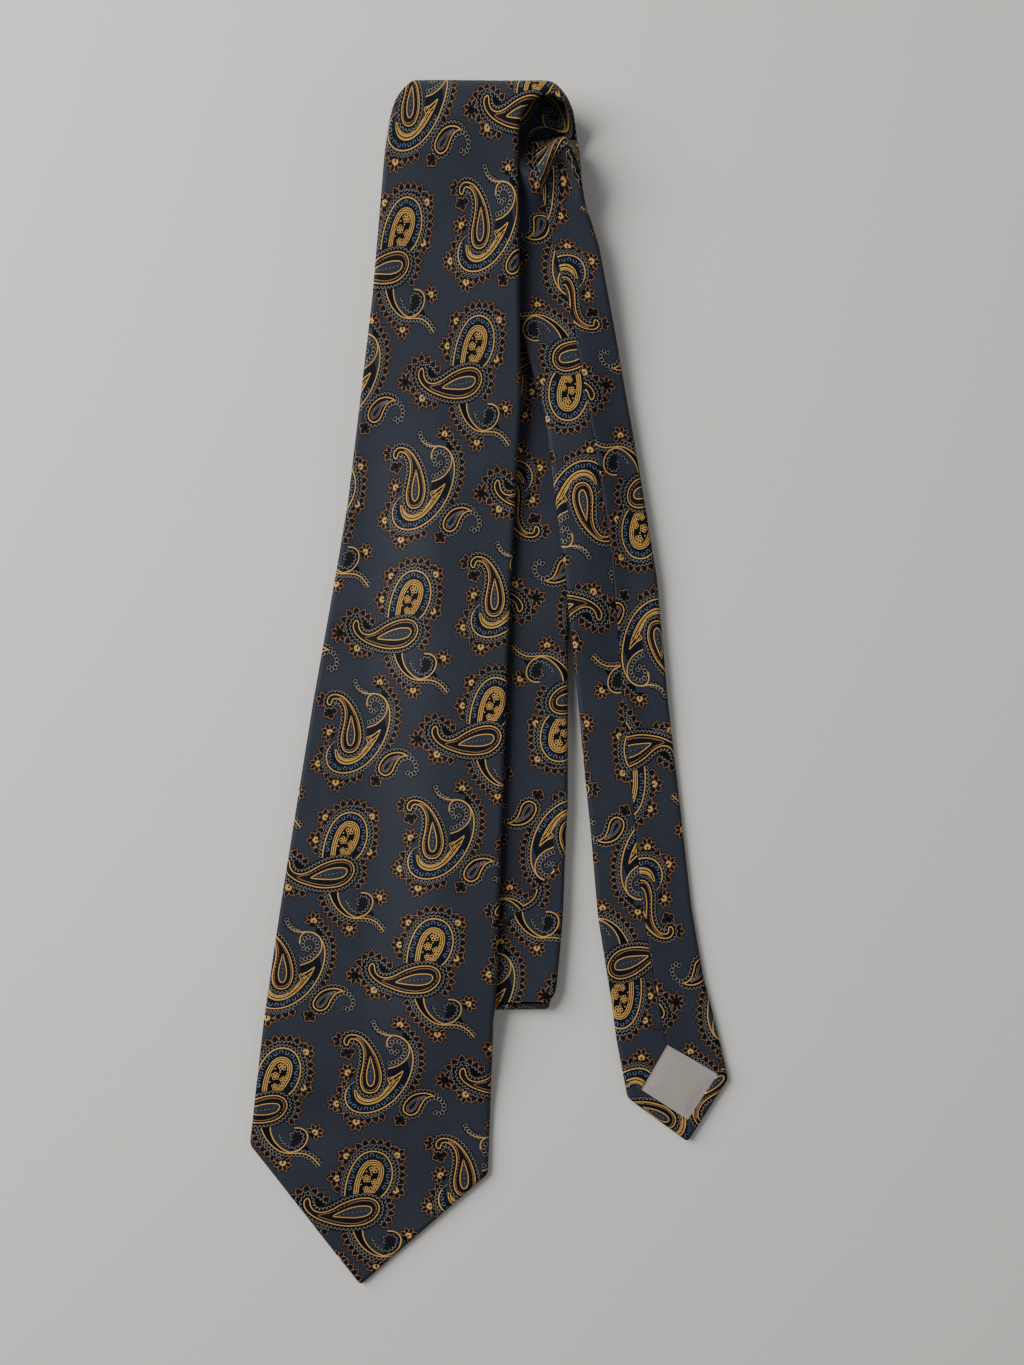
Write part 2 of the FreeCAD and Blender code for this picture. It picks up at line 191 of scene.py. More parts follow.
class Print:
    """Painter-ordered coloured outlines; fine adds what only a near view shows."""

    def __init__(self, fine):
        self.shapes = []          # (layer, polygon, colour)
        self.fine = fine

    def fill(self, layer, poly, colour):
        self.shapes.append((layer, np.asarray(poly, float), colour))

    def stroke(self, layer, line, width, colour, taper=0.0):
        w = np.full(len(line), width / 2)
        if taper:
            s = np.linspace(0, 1, len(line))
            w = w * np.clip(np.minimum(s, 1 - s) / taper, 0.35, 1)
        n = normals(line) * w[:, None]
        self.fill(layer, np.vstack([line + n, (line - n)[::-1]]), colour)

    def ring(self, layer, line, width, colour):
        """A closed line as two C-shaped halves, so that its inside stays."""
        half = len(line) // 2
        loop = np.vstack([line, line[:1]])
        n = normals(line, True)
        n = np.vstack([n, n[:1]]) * width / 2
        for a, b in ((0, half), (half, len(line))):
            edge, out = loop[a:b + 1], n[a:b + 1]
            self.fill(layer, np.vstack([edge + out, (edge - out)[::-1]]), colour)

    def bead(self, layer, c, t, n, wide, high, pointed, colour, line, dot):
        """One scallop or petal standing on c, facing n."""
        if pointed and self.fine:
            x = np.array([.9, 1.12, .92, .42, 0, -.42, -.92, -1.12, -.9])
            y = np.array([-.1, .30, .62, .78, 1.14, .78, .62, .30, -.1])
        elif pointed:
            x, y = np.array([1.1, 0, -1.1]), np.array([0, 1.15, 0])
        else:
            a = np.linspace(0, math.pi, 6 if self.fine else 4)
            x, y = np.cos(a) * 1.02, np.sin(a)

        def outline(grow):
            return c + np.outer(x * (wide / 2 + grow), t) + np.outer(y * (high + grow), n)

        if self.fine:
            self.fill(layer, outline(0.34), BLACK)
        self.fill(layer + .3, outline(0.0), colour)
        self.fill(layer + .5, outline(-line), DUSK)
        if self.fine:
            self.dot(layer + .6, c + n * high * 0.30, dot, BLACK, 5)

    def dot(self, layer, c, r, colour, n=5):
        a = np.linspace(0, 2 * math.pi, n, endpoint=False)
        self.fill(layer, c + np.column_stack([np.cos(a), np.sin(a)]) * r, colour)

    def stations(self, line, pitch, closed=False):
        loop = np.vstack([line, line[:1]]) if closed else line
        run = np.r_[0, np.cumsum(np.linalg.norm(np.diff(loop, axis=0), axis=1))]
        n = max(1, int(round(run[-1] / pitch)))
        at = (np.arange(n) + 0.5) * run[-1] / n

        def pick(s):
            return np.column_stack([np.interp(np.clip(s, 0, run[-1]), run, loop[:, k]) for k in (0, 1)])

        t = pick(at + 0.4 * pitch) - pick(at - 0.4 * pitch)
        t /= np.maximum(np.linalg.norm(t, axis=1), 1e-9)[:, None]
        return pick(at), t, np.column_stack([t[:, 1], -t[:, 0]]), run[-1] / n

    def row(self, layer, line, pitch, high, pointed, colour, closed=False, width=0.25, dot=0.3):
        """Beads side by side along a line, on its right-hand side."""
        at, along, out, wide = self.stations(line, pitch, closed)
        for c, t, n in zip(at, along, out):
            self.bead(layer, c, t, n, wide * 0.98, high, pointed, colour, width, dot)

    def curls(self, layer, line, pitch, r, colour):
        """Small open rings along a line, turned from side to side."""
        for i, (c, t, n) in enumerate(zip(*self.stations(line, pitch)[:3])):
            turn = math.atan2(n[1], n[0]) + (0 if i % 2 else math.pi)
            a = turn + np.linspace(0.22 * math.pi, 1.78 * math.pi, 9 if self.fine else 5)
            arc = c + np.column_stack([np.cos(a), np.sin(a)]) * r
            self.stroke(layer, arc, CURL_LINE, colour)
            if self.fine:
                self.dot(layer, c, r * 0.34, BLACK, 5)

    def flower(self, layer, x, y, facing, count, reach, heart):
        reach = reach * 1.32
        c = np.array([x, y])
        f = math.radians(facing)
        spread = math.radians(235)
        inner = reach * 0.42
        self.dot(layer, c, inner * 1.6, BLACK, 10)
        for a in f + np.linspace(-spread / 2, spread / 2, count - 1):
            n = np.array([math.cos(a), math.sin(a)])
            t = np.array([n[1], -n[0]])
            wide = 2 * inner * math.tan(spread / (count - 2) / 2) * 1.25
            self.bead(layer, c + n * inner, t, n, wide, reach - inner, True, COPPER, 0.25, 0.32)
        self.dot(layer + .7, c, inner * 0.9, BLACK, 8)
        if heart:
            n = np.array([math.cos(f), math.sin(f)])
            t = np.array([n[1], -n[0]])
            pts = [n * 1.0, n * .25 + t * .95, -n * .45 + t * .85, -n * .75 + t * .35, -n * .3,
                   -n * .75 - t * .35, -n * .45 - t * .85, n * .25 - t * .95]
            self.fill(layer + .8, c + np.array(pts) * inner * 0.85, GOLD)
            self.dot(layer + .9, c - n * inner * .1, inner * 0.28, BLACK, 5)

    def floret(self, layer, x, y, r, petals=5):
        """A small open flower drawn in dark line on gold."""
        for k in range(petals):
            a = 2 * math.pi * k / petals + 0.4
            c = np.array([x + r * .66 * math.cos(a), y + r * .66 * math.sin(a)])
            self.dot(layer, c, r * .46, GOLD, 7)
            self.dot(layer + .1, c, r * .28, BLACK, 6)
        self.dot(layer + .3, np.array([x, y]), r * .34, COPPER, 6)


def band(P, layer, line, reach):
    """Dark ground beside a line, on its right-hand side for a positive reach."""
    P.fill(layer, np.vstack([line, flip(offset(line, reach))]), BLACK)


def drop_body(P, layer, outline, line, heart):
    """A drop: gold rim, dark band with a copper line, and a pale heart with a gold rim."""
    P.fill(layer, outline, GOLD)
    P.fill(layer + .1, offset(outline, -0.38, True), BLACK)
    P.fill(layer + .15, offset(outline, -0.62, True), DUSK)
    P.ring(layer + .2, line, 0.32, COPPER)
    if P.fine:
        for c in P.stations(offset(heart, 0.95, True), 1.25, True)[0]:
            P.dot(layer + .3, c, 0.36, BLACK, 6)
    P.fill(layer + .55, offset(heart, 0.34, True), BLACK)
    P.fill(layer + .6, heart, GOLD)
    P.fill(layer + .7, offset(heart, -0.36, True), BLACK)
    P.fill(layer + .75, offset(heart, -0.56, True), SLATE)
    if P.fine:
        spine = heart[:len(heart) // 2] * 0.5 + heart[::-1][:len(heart) // 2] * 0.5
        for k, c in enumerate(P.stations(spine, 1.5)[0][1:-1]):
            P.dot(layer + .8, c, 0.50, BLACK, 6)
            P.dot(layer + .9, c, 0.32, COPPER if k % 2 else BLUE, 5)


def scallops(P, layer, line, closed=False, high=0.95):
    P.row(layer, line, SCALLOP, high, False, GREY, closed, width=BEAD_LINE, dot=0.27)


def fringe(P, layer, line):
    """Petals outside a line, with a row of scallops at their foot."""
    P.row(layer, line, PETAL, PETAL, True, COPPER, dot=0.42)
    if P.fine:
        scallops(P, layer + .7, offset(line, -0.85), high=0.9)


def upright_motif(P):
    """The first motif: an upright drop inside a U band, with a horn and a swirl."""
    drop, u = shape("drop", True), shape("u_line")
    outer_u, outer_r = shape("outer_u"), flip(shape("outer_right"))
    P.fill(0, np.vstack([outer_u, part(flip(u), 0.30, 0.98)]), BLACK)
    P.fill(0, np.vstack([outer_r, part(u, 0.45, 0.9)]), BLACK)
    fringe(P, 1, outer_u)
    fringe(P, 1, outer_r)
    main = part(u, 0.03, 0.80)
    band(P, 2, main, 0.9)
    scallops(P, 2.2, offset(main, 0.55))
    P.fill(3, np.vstack([part(u, 0.0, 0.66), shape("u_band_in")]), NAVY)
    P.curls(3.2, shape("u_curls"), 2.15, 0.62, BLUE)
    loop, swirl = shape("u_loop"), shape("swirl")
    P.fill(3.5, np.vstack([part(u, 0.62, 0.86), shape("u_curl"), flip(loop)]), GROUND)
    scallops(P, 3.6, swirl)
    scallops(P, 3.55, flip(swirl))
    P.fill(3.4, np.vstack([part(u, 0.55, 0.80), [[9.0, 2.4], [5.9, 1.3], [5.8, -2.0]]]), NAVY)
    tail = shape("tail_up")
    for side, line in ((1, tail), (-1, flip(tail))):
        band(P, 2, tail, 1.2 * side)
        scallops(P, 2.2, line)
    horn = orient(np.vstack([shape("horn_out"), shape("horn_in")]))
    P.fill(3.9, offset(horn, 0.25, True), BLACK)
    P.fill(4, horn, GOLD)
    P.fill(4.1, offset(horn, -0.30, True), BLACK)
    for d in (0.35, -0.35, -1.05):
        P.stroke(4.2, part(offset(shape("horn_mid"), d), 0.05, 1.0), HORN_LINE, GOLD)
    for ends in ([(6.3, -2.8), (10.6, 0.2)], [(7.3, -3.7), (10.2, -1.2)]):      # near its point
        P.stroke(4.2, np.array(ends), HORN_LINE, GOLD)
    P.stroke(5, u, GOLD_LINE, GOLD, taper=0.08)
    P.stroke(5, shape("u_curl"), 0.42, GOLD)
    P.stroke(5, loop, FINE_LINE, GOLD)
    P.fill(5.6, offset(drop, 1.3, True), BLACK)
    scallops(P, 6, offset(drop, 0.62, True), True)
    drop_body(P, 7.5, drop, shape("drop_line", True), shape("drop_heart", True))


def satellite(P):
    """A small drop with a scalloped hook, beside the first motif."""
    sat, hook = shape("sat", True), shape("sat_hook")
    P.fill(2.6, offset(sat, 1.2, True), BLACK)
    scallops(P, 2.8, offset(sat, 0.6, True), True)
    for line in (hook, flip(hook)):
        band(P, 2.4, line, 0.9)
        scallops(P, 2.5, line, high=1.0)
    P.fill(7.5, sat, GOLD)
    P.fill(7.6, offset(sat, -0.42, True), BLACK)
    heart = shape("sat_heart", True)
    P.fill(7.7, heart, COPPER)
    P.fill(7.8, offset(heart, -0.28, True), DUSK)
    P.ring(7.9, offset(heart, -0.72, True), 0.24, BLUE)


def arch_motif(P):
    """The second motif's gold arch, with florets in it."""
    arch, inner = shape("arch"), shape("arch_in")
    outer_a = flip(shape("outer_arch"))
    P.fill(0, np.vstack([outer_a, arch]), BLACK)
    fringe(P, 1, outer_a)
    band(P, 2, flip(arch), 0.9)
    scallops(P, 2.2, offset(flip(arch), 0.55))
    P.fill(3, arch, NAVY)
    P.curls(3.2, shape("arch_curls"), 2.15, 0.62, BLUE)
    P.fill(4, inner, GOLD)
    P.stroke(4.1, inner, 0.3, BLACK)
    for k, depth in enumerate((0.50, 0.82, 1.22, 1.52, 1.88)):
        P.fill(4.2 + 0.1 * k, offset(flip(inner), -depth), GOLD if k % 2 else BLACK)
    P.stroke(5, arch, GOLD_LINE, GOLD)
    for x, y, r in ((1.4, -35.4, 1.45), (-0.9, -38.8, 1.35), (1.9, -40.2, 1.2), (-0.9, -42.6, 1.1)):
        P.floret(5.2, x, y, r)
    for x, y in ((-1.0, -36.2), (3.2, -37.6), (0.7, -37.4), (-2.7, -40.9), (0.6, -41.9), (1.9, -43.2),
                 (-2.6, -37.8)):
        P.dot(5.2, np.array([x, y]), 0.55, BLACK, 6)
        P.dot(5.3, np.array([x, y]), 0.30, GOLD, 5)


def lying_motif(P):
    """The second motif's lying drop and the curl below it."""
    drop2 = shape("drop2", True)
    fringe(P, 1, shape("outer_drop2"))
    fringe(P, 1, flip(shape("outer_drop2b")))
    P.fill(0.5, np.vstack([shape("outer_drop2"), shape("drop2_line", True)[:8]]), BLACK)
    P.fill(1.5, offset(drop2, 2.0, True), BLACK)
    P.fill(5.6, offset(drop2, 1.2, True), BLACK)
    scallops(P, 6, offset(drop2, 0.62, True), True)
    drop_body(P, 7.5, drop2, shape("drop2_line", True), shape("drop2_heart", True))
    t1, t2, loop2 = shape("tail_1"), shape("tail_2"), shape("tail_loop")
    P.fill(1.4, np.vstack([t1, flip(loop2), flip(t2)]), BLACK)
    fringe(P, 1, shape("outer_tail"))
    for line in (t1, flip(part(t1, 0.62, 1.0))):
        band(P, 1.6, line, 1.6)
        scallops(P, 1.8, offset(line, 0.5))
    P.fill(2, np.vstack([loop2, flip(part(t2, 0.5, 1))]), DUSK)
    scallops(P, 2.2, shape("swirl2"))
    for line in (t1, t2, loop2):
        P.stroke(5, line, FINE_LINE, GOLD)


def build_print(fine=True):
    P = Print(fine)
    for motif in (upright_motif, satellite, arch_motif, lying_motif):
        motif(P)
    for f in FLOWERS:
        P.flower(1.2, *f)
    return P.shapes


# ---- the print as labelled triangles ----------------------------------------
def winding(p, q):
    """Winding number of polygon q about each point of p."""
    a, b = q, np.roll(q, -1, 0)
    cross = (a[:, 1] > p[:, 1:2]) != (b[:, 1] > p[:, 1:2])
    with np.errstate(divide="ignore", invalid="ignore"):
        x = a[:, 0] + (p[:, 1:2] - a[:, 1]) * (b[:, 0] - a[:, 0]) / (b[:, 1] - a[:, 1])
    return np.where(cross & (x > p[:, 0:1]), np.where(b[:, 1] > a[:, 1], 1, -1), 0).sum(1)


def compact(v, f):
    """Only the points that the faces use."""
    used = np.unique(f)
    back = np.full(len(v), -1)
    back[used] = np.arange(len(used))
    return v[used], back[f]


class Tile:
    """One repeat of the print, cut into triangles that each hold one ink. grid is how many
    even divisions a side of the repeat has besides, so that the cloth can bend."""

    def __init__(self, shapes, grid=24):
        self.inv = np.linalg.inv(np.array([REPEAT_A, REPEAT_C]))
        placed = []
        for layer, poly, colour in sorted(shapes, key=lambda s: s[0]):
            uv = poly @ self.inv
            lo, hi = uv.min(0), uv.max(0)
            for i in range(math.floor(-hi[0]), math.ceil(1 - lo[0]) + 1):
                for j in range(math.floor(-hi[1]), math.ceil(1 - lo[1]) + 1):
                    if (hi + (i, j) > 0).all() and (lo + (i, j) < 1).all():
                        placed.append((layer, poly + i * REPEAT_A + j * REPEAT_C, colour))
        placed.sort(key=lambda s: s[0])
        points, edges = [], []
        for _, poly, _ in placed:
            n = len(points)
            points += [Vector(p) for p in poly]
            edges += [(n + k, n + (k + 1) % len(poly)) for k in range(len(poly))]
        n = len(points)
        points += [Vector((i * REPEAT_A + j * REPEAT_C) / grid)
                   for i in range(grid + 1) for j in range(grid + 1)]
        for i in range(grid):
            row, last = grid + 1, grid * (grid + 1)
            edges += [(n + i * row, n + (i + 1) * row), (n + i * row + grid, n + (i + 1) * row + grid)]
            edges += [(n + i, n + i + 1), (n + last + i, n + last + i + 1)]
        v, _, f, _, _, _ = delaunay_2d_cdt(points, edges, [], 0, 1e-5, False)
        v = np.array([tuple(p) for p in v])
        f = np.array([tuple(t) for t in f])
        uv = v[f].mean(1) @ self.inv
        f = f[((uv > 0) & (uv < 1)).all(1)]
        mid = v[f].mean(1)
        order = np.argsort(mid[:, 0])
        xs = mid[order, 0]
        lab = np.zeros(len(f), int)
        for _, poly, colour in placed:
            lo, hi = poly.min(0), poly.max(0)
            ids = order[np.searchsorted(xs, lo[0]):np.searchsorted(xs, hi[0])]
            ids = ids[(mid[ids, 1] > lo[1]) & (mid[ids, 1] < hi[1])]
            if len(ids):
                lab[ids[winding(mid[ids], poly) != 0]] = colour
        self.v, self.f = compact(v, f)
        self.lab = lab

    def cover(self, lo, hi, lay):
        """Repeats over a plan box; lay takes print points to the plan."""
        span = range(-9, 10)
        corner = np.array([[0, 0], [0, 1], [1, 0], [1, 1]]) @ np.array([REPEAT_A, REPEAT_C])
        vs, fs, ls, n = [], [], [], 0
        for i in span:
            for j in span:
                shift = i * REPEAT_A + j * REPEAT_C
                box = lay(corner + shift)
                if (box.max(0) < lo - 6).any() or (box.min(0) > hi + 6).any():
                    continue
                v = lay(self.v + shift)
                t = v[self.f]
                ok = ((t.max(1) > lo) & (t.min(1) < hi)).all(1)
                if ok.any():
                    w, f = compact(v, self.f[ok])
                    vs.append(w)
                    fs.append(f + n)
                    ls.append(self.lab[ok])
                    n += len(w)
        v, f, lab = np.vstack(vs), np.vstack(fs), np.concatenate(ls)
        key = np.round(v / 2e-3).astype(np.int64)
        _, first, same = np.unique(key, axis=0, return_index=True, return_inverse=True)
        return v[first], same.reshape(-1)[f], lab


class Plain:
    """A plain cloth, as even triangles of one colour."""

    def __init__(self, step):
        self.step = step

    def cover(self, lo, hi, lay):
        n = np.ceil((hi - lo) / self.step).astype(int)
        grid = np.stack(np.meshgrid(np.arange(n[0] + 1), np.arange(n[1] + 1), indexing="ij"), -1)
        v = lo + grid.reshape(-1, 2) * self.step
        i, j = (a.reshape(-1) for a in np.meshgrid(np.arange(n[0]), np.arange(n[1]), indexing="ij"))
        a, row = i * (n[1] + 1) + j, n[1] + 1
        f = np.vstack([np.column_stack([a, a + row, a + row + 1]), np.column_stack([a, a + row + 1, a + 1])])
        return v, f, np.zeros(len(f), int)


def cut(v, f, lab, g, keep=False):
    """Triangles divided along g = 0, given at their points; keep drops the part where g is negative."""
    up = g > 0
    count = up[f].sum(1)
    whole = (count == 0) | (count == 3)
    split, lab_s = f[~whole], lab[~whole]
    faces, labs, side = [f[whole]], [lab[whole]], [up[f[whole][:, 0]]]
    if len(split):
        u = up[split]
        lone_up = u.sum(1) == 1
        k = np.where(lone_up, u.argmax(1), (~u).argmax(1))
        i = np.arange(len(split))
        a, b, c = split[i, k], split[i, (k + 1) % 3], split[i, (k + 2) % 3]
        pair = np.sort(np.vstack([np.column_stack([a, b]), np.column_stack([a, c])]), 1)
        _, first, same = np.unique(pair[:, 0].astype(np.int64) * len(v) + pair[:, 1],
                                   return_index=True, return_inverse=True)
        p, q = pair[first, 0], pair[first, 1]
        fresh = v[p] + (v[q] - v[p]) * (g[p] / (g[p] - g[q]))[:, None]
        m = len(v) + same.reshape(-1)
        ab, ac = m[:len(split)], m[len(split):]
        v = np.vstack([v, fresh])
        faces += [np.column_stack([a, ab, ac]), np.column_stack([ab, b, c]),
                  np.column_stack([ab, c, ac])]
        labs += [lab_s] * 3
        side += [lone_up, ~lone_up, ~lone_up]
    f, lab, side = np.vstack(faces), np.concatenate(labs), np.concatenate(side)
    if keep:
        v, f = compact(v, f[side])
        lab = lab[side]
    return v, f, lab


# ---- runs of cloth ----------------------------------------------------------
class Path:
    """Side profile of a run: its middle's (y, z), in order along the cloth."""

    def __init__(self, keys, start):
        line = spline(np.array(keys, float), False, 0.4)
        for _ in range(8):
            line[1:-1] = 0.25 * line[:-2] + 0.5 * line[1:-1] + 0.25 * line[2:]
        self.line = line
        self.s = start + np.r_[0, np.cumsum(np.linalg.norm(np.diff(line, axis=0), axis=1))]
        self.t = np.gradient(line, self.s, axis=0)

    def at(self, s):
        y, z, ty, tz = (np.interp(s, self.s, a[:, k]) for a in (self.line, self.t) for k in (0, 1))
        n = np.maximum(np.hypot(ty, tz), 1e-9)
        y = y + np.minimum(s - self.s[0], 0) + np.maximum(s - self.s[-1], 0) * ty
        return y, z, ty / n, tz / n

    def s_of(self, y, first=0, last=None):
        """Length along the cloth where its rising stretch passes y."""
        span = slice(first, last)
        order = np.argsort(self.line[span, 0])
        return np.interp(y, self.line[span, 0][order], self.s[span][order])


def resample(line, step):
    loop = np.vstack([line, line[:1]])
    run = np.r_[0, np.cumsum(np.linalg.norm(np.diff(loop, axis=0), axis=1))]
    at = np.linspace(0, run[-1], int(run[-1] / step) + 1)[:-1]
    return np.column_stack([np.interp(at, run, loop[:, k]) for k in (0, 1)])


def foot_on(line, n, p):
    """Signed distance to a closed line (outside positive), with foot and normal."""
    tree = KDTree(len(line))
    for i, q in enumerate(line):
        tree.insert((q[0], q[1], 0), i)
    tree.balance()
    k = np.array([tree.find((x, y, 0))[1] for x, y in p.tolist()], int)
    best = np.full(len(p), 1e9)
    foot, out = line[k].copy(), n[k].copy()
    for i, j in ((k - 1, k), (k, (k + 1) % len(line))):
        e = line[j] - line[i]
        t = np.clip(((p - line[i]) * e).sum(1) / np.maximum((e * e).sum(1), 1e-12), 0, 1)[:, None]
        f = line[i] + e * t
        d = np.linalg.norm(p - f, axis=1)
        m = d < best
        best[m], foot[m] = d[m], f[m]
        out[m] = (n[i] * (1 - t) + n[j] * t)[m]
    out /= np.linalg.norm(out, axis=1)[:, None]
    return np.where(((p - foot) * out).sum(1) < 0, -best, best), foot, out


class Run:
    """A run of the tie: a plan outline in (x, s) carried along a side profile. relief is how far
    the cloth sinks or rises at (x, s), sway how far it is drawn along the tie, and roll how wide
    its edges are rounded."""

    def __init__(self, outline, path, relief, sway, thick=2.6, roll=1.8):
        line = resample(np.asarray(outline, float), 0.7)
        for _ in range(4):
            line = 0.25 * np.roll(line, 1, 0) + 0.5 * line + 0.25 * np.roll(line, -1, 0)
        self.line = orient(line)
        self.n = normals(self.line, True)
        self.path, self.relief, self.sway = path, relief, sway
        self.high, self.roll = thick / 2, roll
        self.arc = (self.high + roll) / 2 * math.pi / 2
        # a coarse map of the distance saves most of the exact ones
        self.lo, self.step = self.line.min(0) - 6, 2.0
        size = np.ceil((self.line.max(0) + 6 - self.lo) / self.step).astype(int) + 1
        grid = np.stack(np.meshgrid(*[np.arange(n) for n in size], indexing="ij"), -1)
        self.map = foot_on(self.line, self.n, (grid.reshape(-1, 2) * self.step + self.lo))[0].reshape(size)

    def distance(self, p):
        """Signed distance to the outline, exact within a few millimetres of it."""
        q = np.clip((p - self.lo) / self.step, 0, np.array(self.map.shape) - 1.001)
        i = q.astype(int)
        t = q - i
        m, a, b = self.map, i[:, 0], i[:, 1]
        d = ((m[a, b] * (1 - t[:, 0]) + m[a + 1, b] * t[:, 0]) * (1 - t[:, 1])
             + (m[a, b + 1] * (1 - t[:, 0]) + m[a + 1, b + 1] * t[:, 0]) * t[:, 1])
        near = np.abs(d) < 5
        if near.any():
            d[near] = foot_on(self.line, self.n, p[near])[0]
        return d

    def place(self, x, s, h):
        """Points at plan (x, s), h off the middle of the run."""
        y, z, ty, tz = self.path.at(s)
        e = 0.4
        dz = self.relief(x, s)
        dx = (self.relief(x + e, s) - self.relief(x - e, s)) / (2 * e)
        ds = (self.relief(x, s + e) - self.relief(x, s - e)) / (2 * e)
        n = np.column_stack([-dx, -tz - ds * ty, ty - ds * tz])
        n /= np.linalg.norm(n, axis=1)[:, None]
        out = np.column_stack([x, y - dz * tz + self.sway(x, s), z + dz * ty]) + n * h[:, None]
        out[:, 2] = np.maximum(out[:, 2], 0.0)         # the table stops it
        return out

    def rolled(self, p, d, foot, out, side, lift):
        a = np.clip((d + self.roll) / self.arc, 0, 1) * math.pi / 2
        plan = np.where((d > -self.roll)[:, None],
                        foot + out * (self.roll * (np.sin(a) - 1))[:, None], p)
        return self.place(plan[:, 0], plan[:, 1], side * (self.high * np.cos(a) + lift))

    def skin(self, tile, lay, side, s_range=None, clips=(), lift=None, slices=()):
        """One face of the run, printed, as (points and normals, faces, labels, plan).
        clips and slices are functions of the plan: the cloth ends, or is cut, where they are 0."""
        lift = lift or (lambda q: np.zeros(len(q)))
        lo, hi = self.line.min(0) - 2, self.line.max(0) + 2
        if s_range:
            lo[1], hi[1] = max(lo[1], s_range[0] - 1), min(hi[1], s_range[1] + 1)
        v, f, lab = tile.cover(lo, hi, lay)
        a, b = v[f[:, 1]] - v[f[:, 0]], v[f[:, 2]] - v[f[:, 0]]
        turned = a[:, 0] * b[:, 1] < a[:, 1] * b[:, 0]
        f[turned] = f[turned][:, ::-1]                 # a mirrored print turns its faces over
        if s_range:
            v, f, lab = cut(v, f, lab, v[:, 1] - s_range[0], True)
            v, f, lab = cut(v, f, lab, s_range[1] - v[:, 1], True)
        for g in clips:
            v, f, lab = cut(v, f, lab, g(v), True)
        v = np.column_stack([v, self.distance(v)])
        limit = self.arc - self.roll
        v, f, lab = cut(v, f, lab, limit - v[:, 2], True)
        for k in range(6):
            v, f, lab = cut(v, f, lab, v[:, 2] + self.roll - self.arc * k / 6 + 1e-4)
        for g in slices:
            v, f, lab = cut(v, f, lab, g(v))
        p, d = v[:, :2], v[:, 2].copy()
        foot, out = p.copy(), np.zeros_like(p)
        out[:, 0] = 1.0
        edge = d > -self.roll - 0.6
        if edge.any():
            d[edge], foot[edge], out[edge] = foot_on(self.line, self.n, p[edge])
        d = np.minimum(d, limit)
        pos = self.rolled(p, d, foot, out, side, lift(p))
        e = 0.04
        sides = []
        for dp in np.array([[e, 0], [-e, 0], [0, e], [0, -e]]):
            across = (out * dp).sum(1)
            moved = foot + dp - out * across[:, None]
            sides.append(self.rolled(p + dp, d + across * edge, moved, out, side, lift(p + dp)))
        n = np.cross(sides[0] - sides[1], sides[2] - sides[3]) * side
        n /= np.maximum(np.linalg.norm(n, axis=1), 1e-12)[:, None]
        return np.hstack([pos, n]), (f if side > 0 else f[:, ::-1]), lab, p


def show(name, mesh, plan, materials):
    """The mesh as an object, with its place on the flat cloth for the weave."""
    cloth = mesh.attributes.new("cloth", "FLOAT_VECTOR", "POINT")
    cloth.data.foreach_set("vector", np.column_stack([plan, 0 * plan[:, 0]]).ravel())
    for material in materials:
        mesh.materials.append(material)
    ob = bpy.data.objects.new(name, mesh)
    bpy.context.scene.collection.objects.link(ob)
    return ob


def piece(name, parts, materials):
    """One mesh from parts: points with normals, faces, labels and plan points."""
    v = np.vstack([p[0] for p in parts])
    first = np.cumsum([0] + [len(p[0]) for p in parts[:-1]])
    f = np.vstack([p[1] + k for p, k in zip(parts, first)])
    lab = np.concatenate([p[2] for p in parts])
    plan = np.vstack([p[3] for p in parts])
    a, b, c = (v[f[:, k], :3] for k in range(3))
    solid = np.linalg.norm(np.cross(b - a, c - a), axis=1) > 1e-6
    f, lab = f[solid], lab[solid]
    mesh = bpy.data.meshes.new(name)
    mesh.vertices.add(len(v))
    mesh.vertices.foreach_set("co", (v[:, :3] * MM).ravel())
    mesh.loops.add(len(f) * 3)
    mesh.loops.foreach_set("vertex_index", f.ravel())
    mesh.polygons.add(len(f))
    mesh.polygons.foreach_set("loop_start", np.arange(0, len(f) * 3, 3))
    mesh.polygons.foreach_set("material_index", lab)
    mesh.polygons.foreach_set("use_smooth", np.ones(len(f), bool))
    mesh.update(calc_edges=True)
    mesh.normals_split_custom_set_from_vertices(v[:, 3:])
    return show(name, mesh, plan, materials)


# ---- the runs' outlines and profiles (mm) ----------------------------------
CUT_OUT = (214.6, 11.5)       # the outer loop's outermost point, y and z
CUT_IN = (195.3, 7.4)         # the inner loop's outermost point

BLADE_PATH = Path([(-216, 1.4), (-170, 1.4), (-150, 1.7), (-128, 4.6), (-108, 7.3), (-80, 7.8), (0, 8.0),
                   (64, 8.6), (120, 11.4), (160, 14.4), (185, 17.2), (197, 19.0), (204, 19.2),
                   (209.6, 17.8), (213.2, 14.9), CUT_OUT], -216)
CUT_S = BLADE_PATH.s[-1]
STACK_PATH = Path([CUT_OUT, (213.6, 7.8), (210.2, 4.3), (204.4, 2.1), (195, 1.35), (120, 1.3), (40, 1.3),
                   (-40, 1.3), (-104, 1.3), (-109.2, 1.32), (-111.1, 1.9), (-111.75, 2.85), (-111.1, 3.8),
                   (-109.2, 4.35), (-104, 4.4), (-40, 4.3), (40, 4.3), (120, 4.3), (180, 4.3), (188, 4.4),
                   (192.0, 4.8), (194.6, 5.8), CUT_IN], CUT_S)
TAIL_PATH = Path([(-165, 1.4), (-110, 1.4), (-40, 1.5), (-20, 1.9), (0, 3.4), (24, 6.0), (50, 7.0),
                  (114, 7.4), (140, 7.8), (160, 8.4), (172, 9.4), (178.6, 10.8), (182.6, 13.3),
                  (185.0, 15.2), (187.2, 15.4), (190.4, 13.0), (193.4, 10.0), CUT_IN], -165)
CUT_T = TAIL_PATH.s[-1]
TURN = int(STACK_PATH.line[:, 0].argmin())      # the neck fold
NECK_S = STACK_PATH.s[TURN]


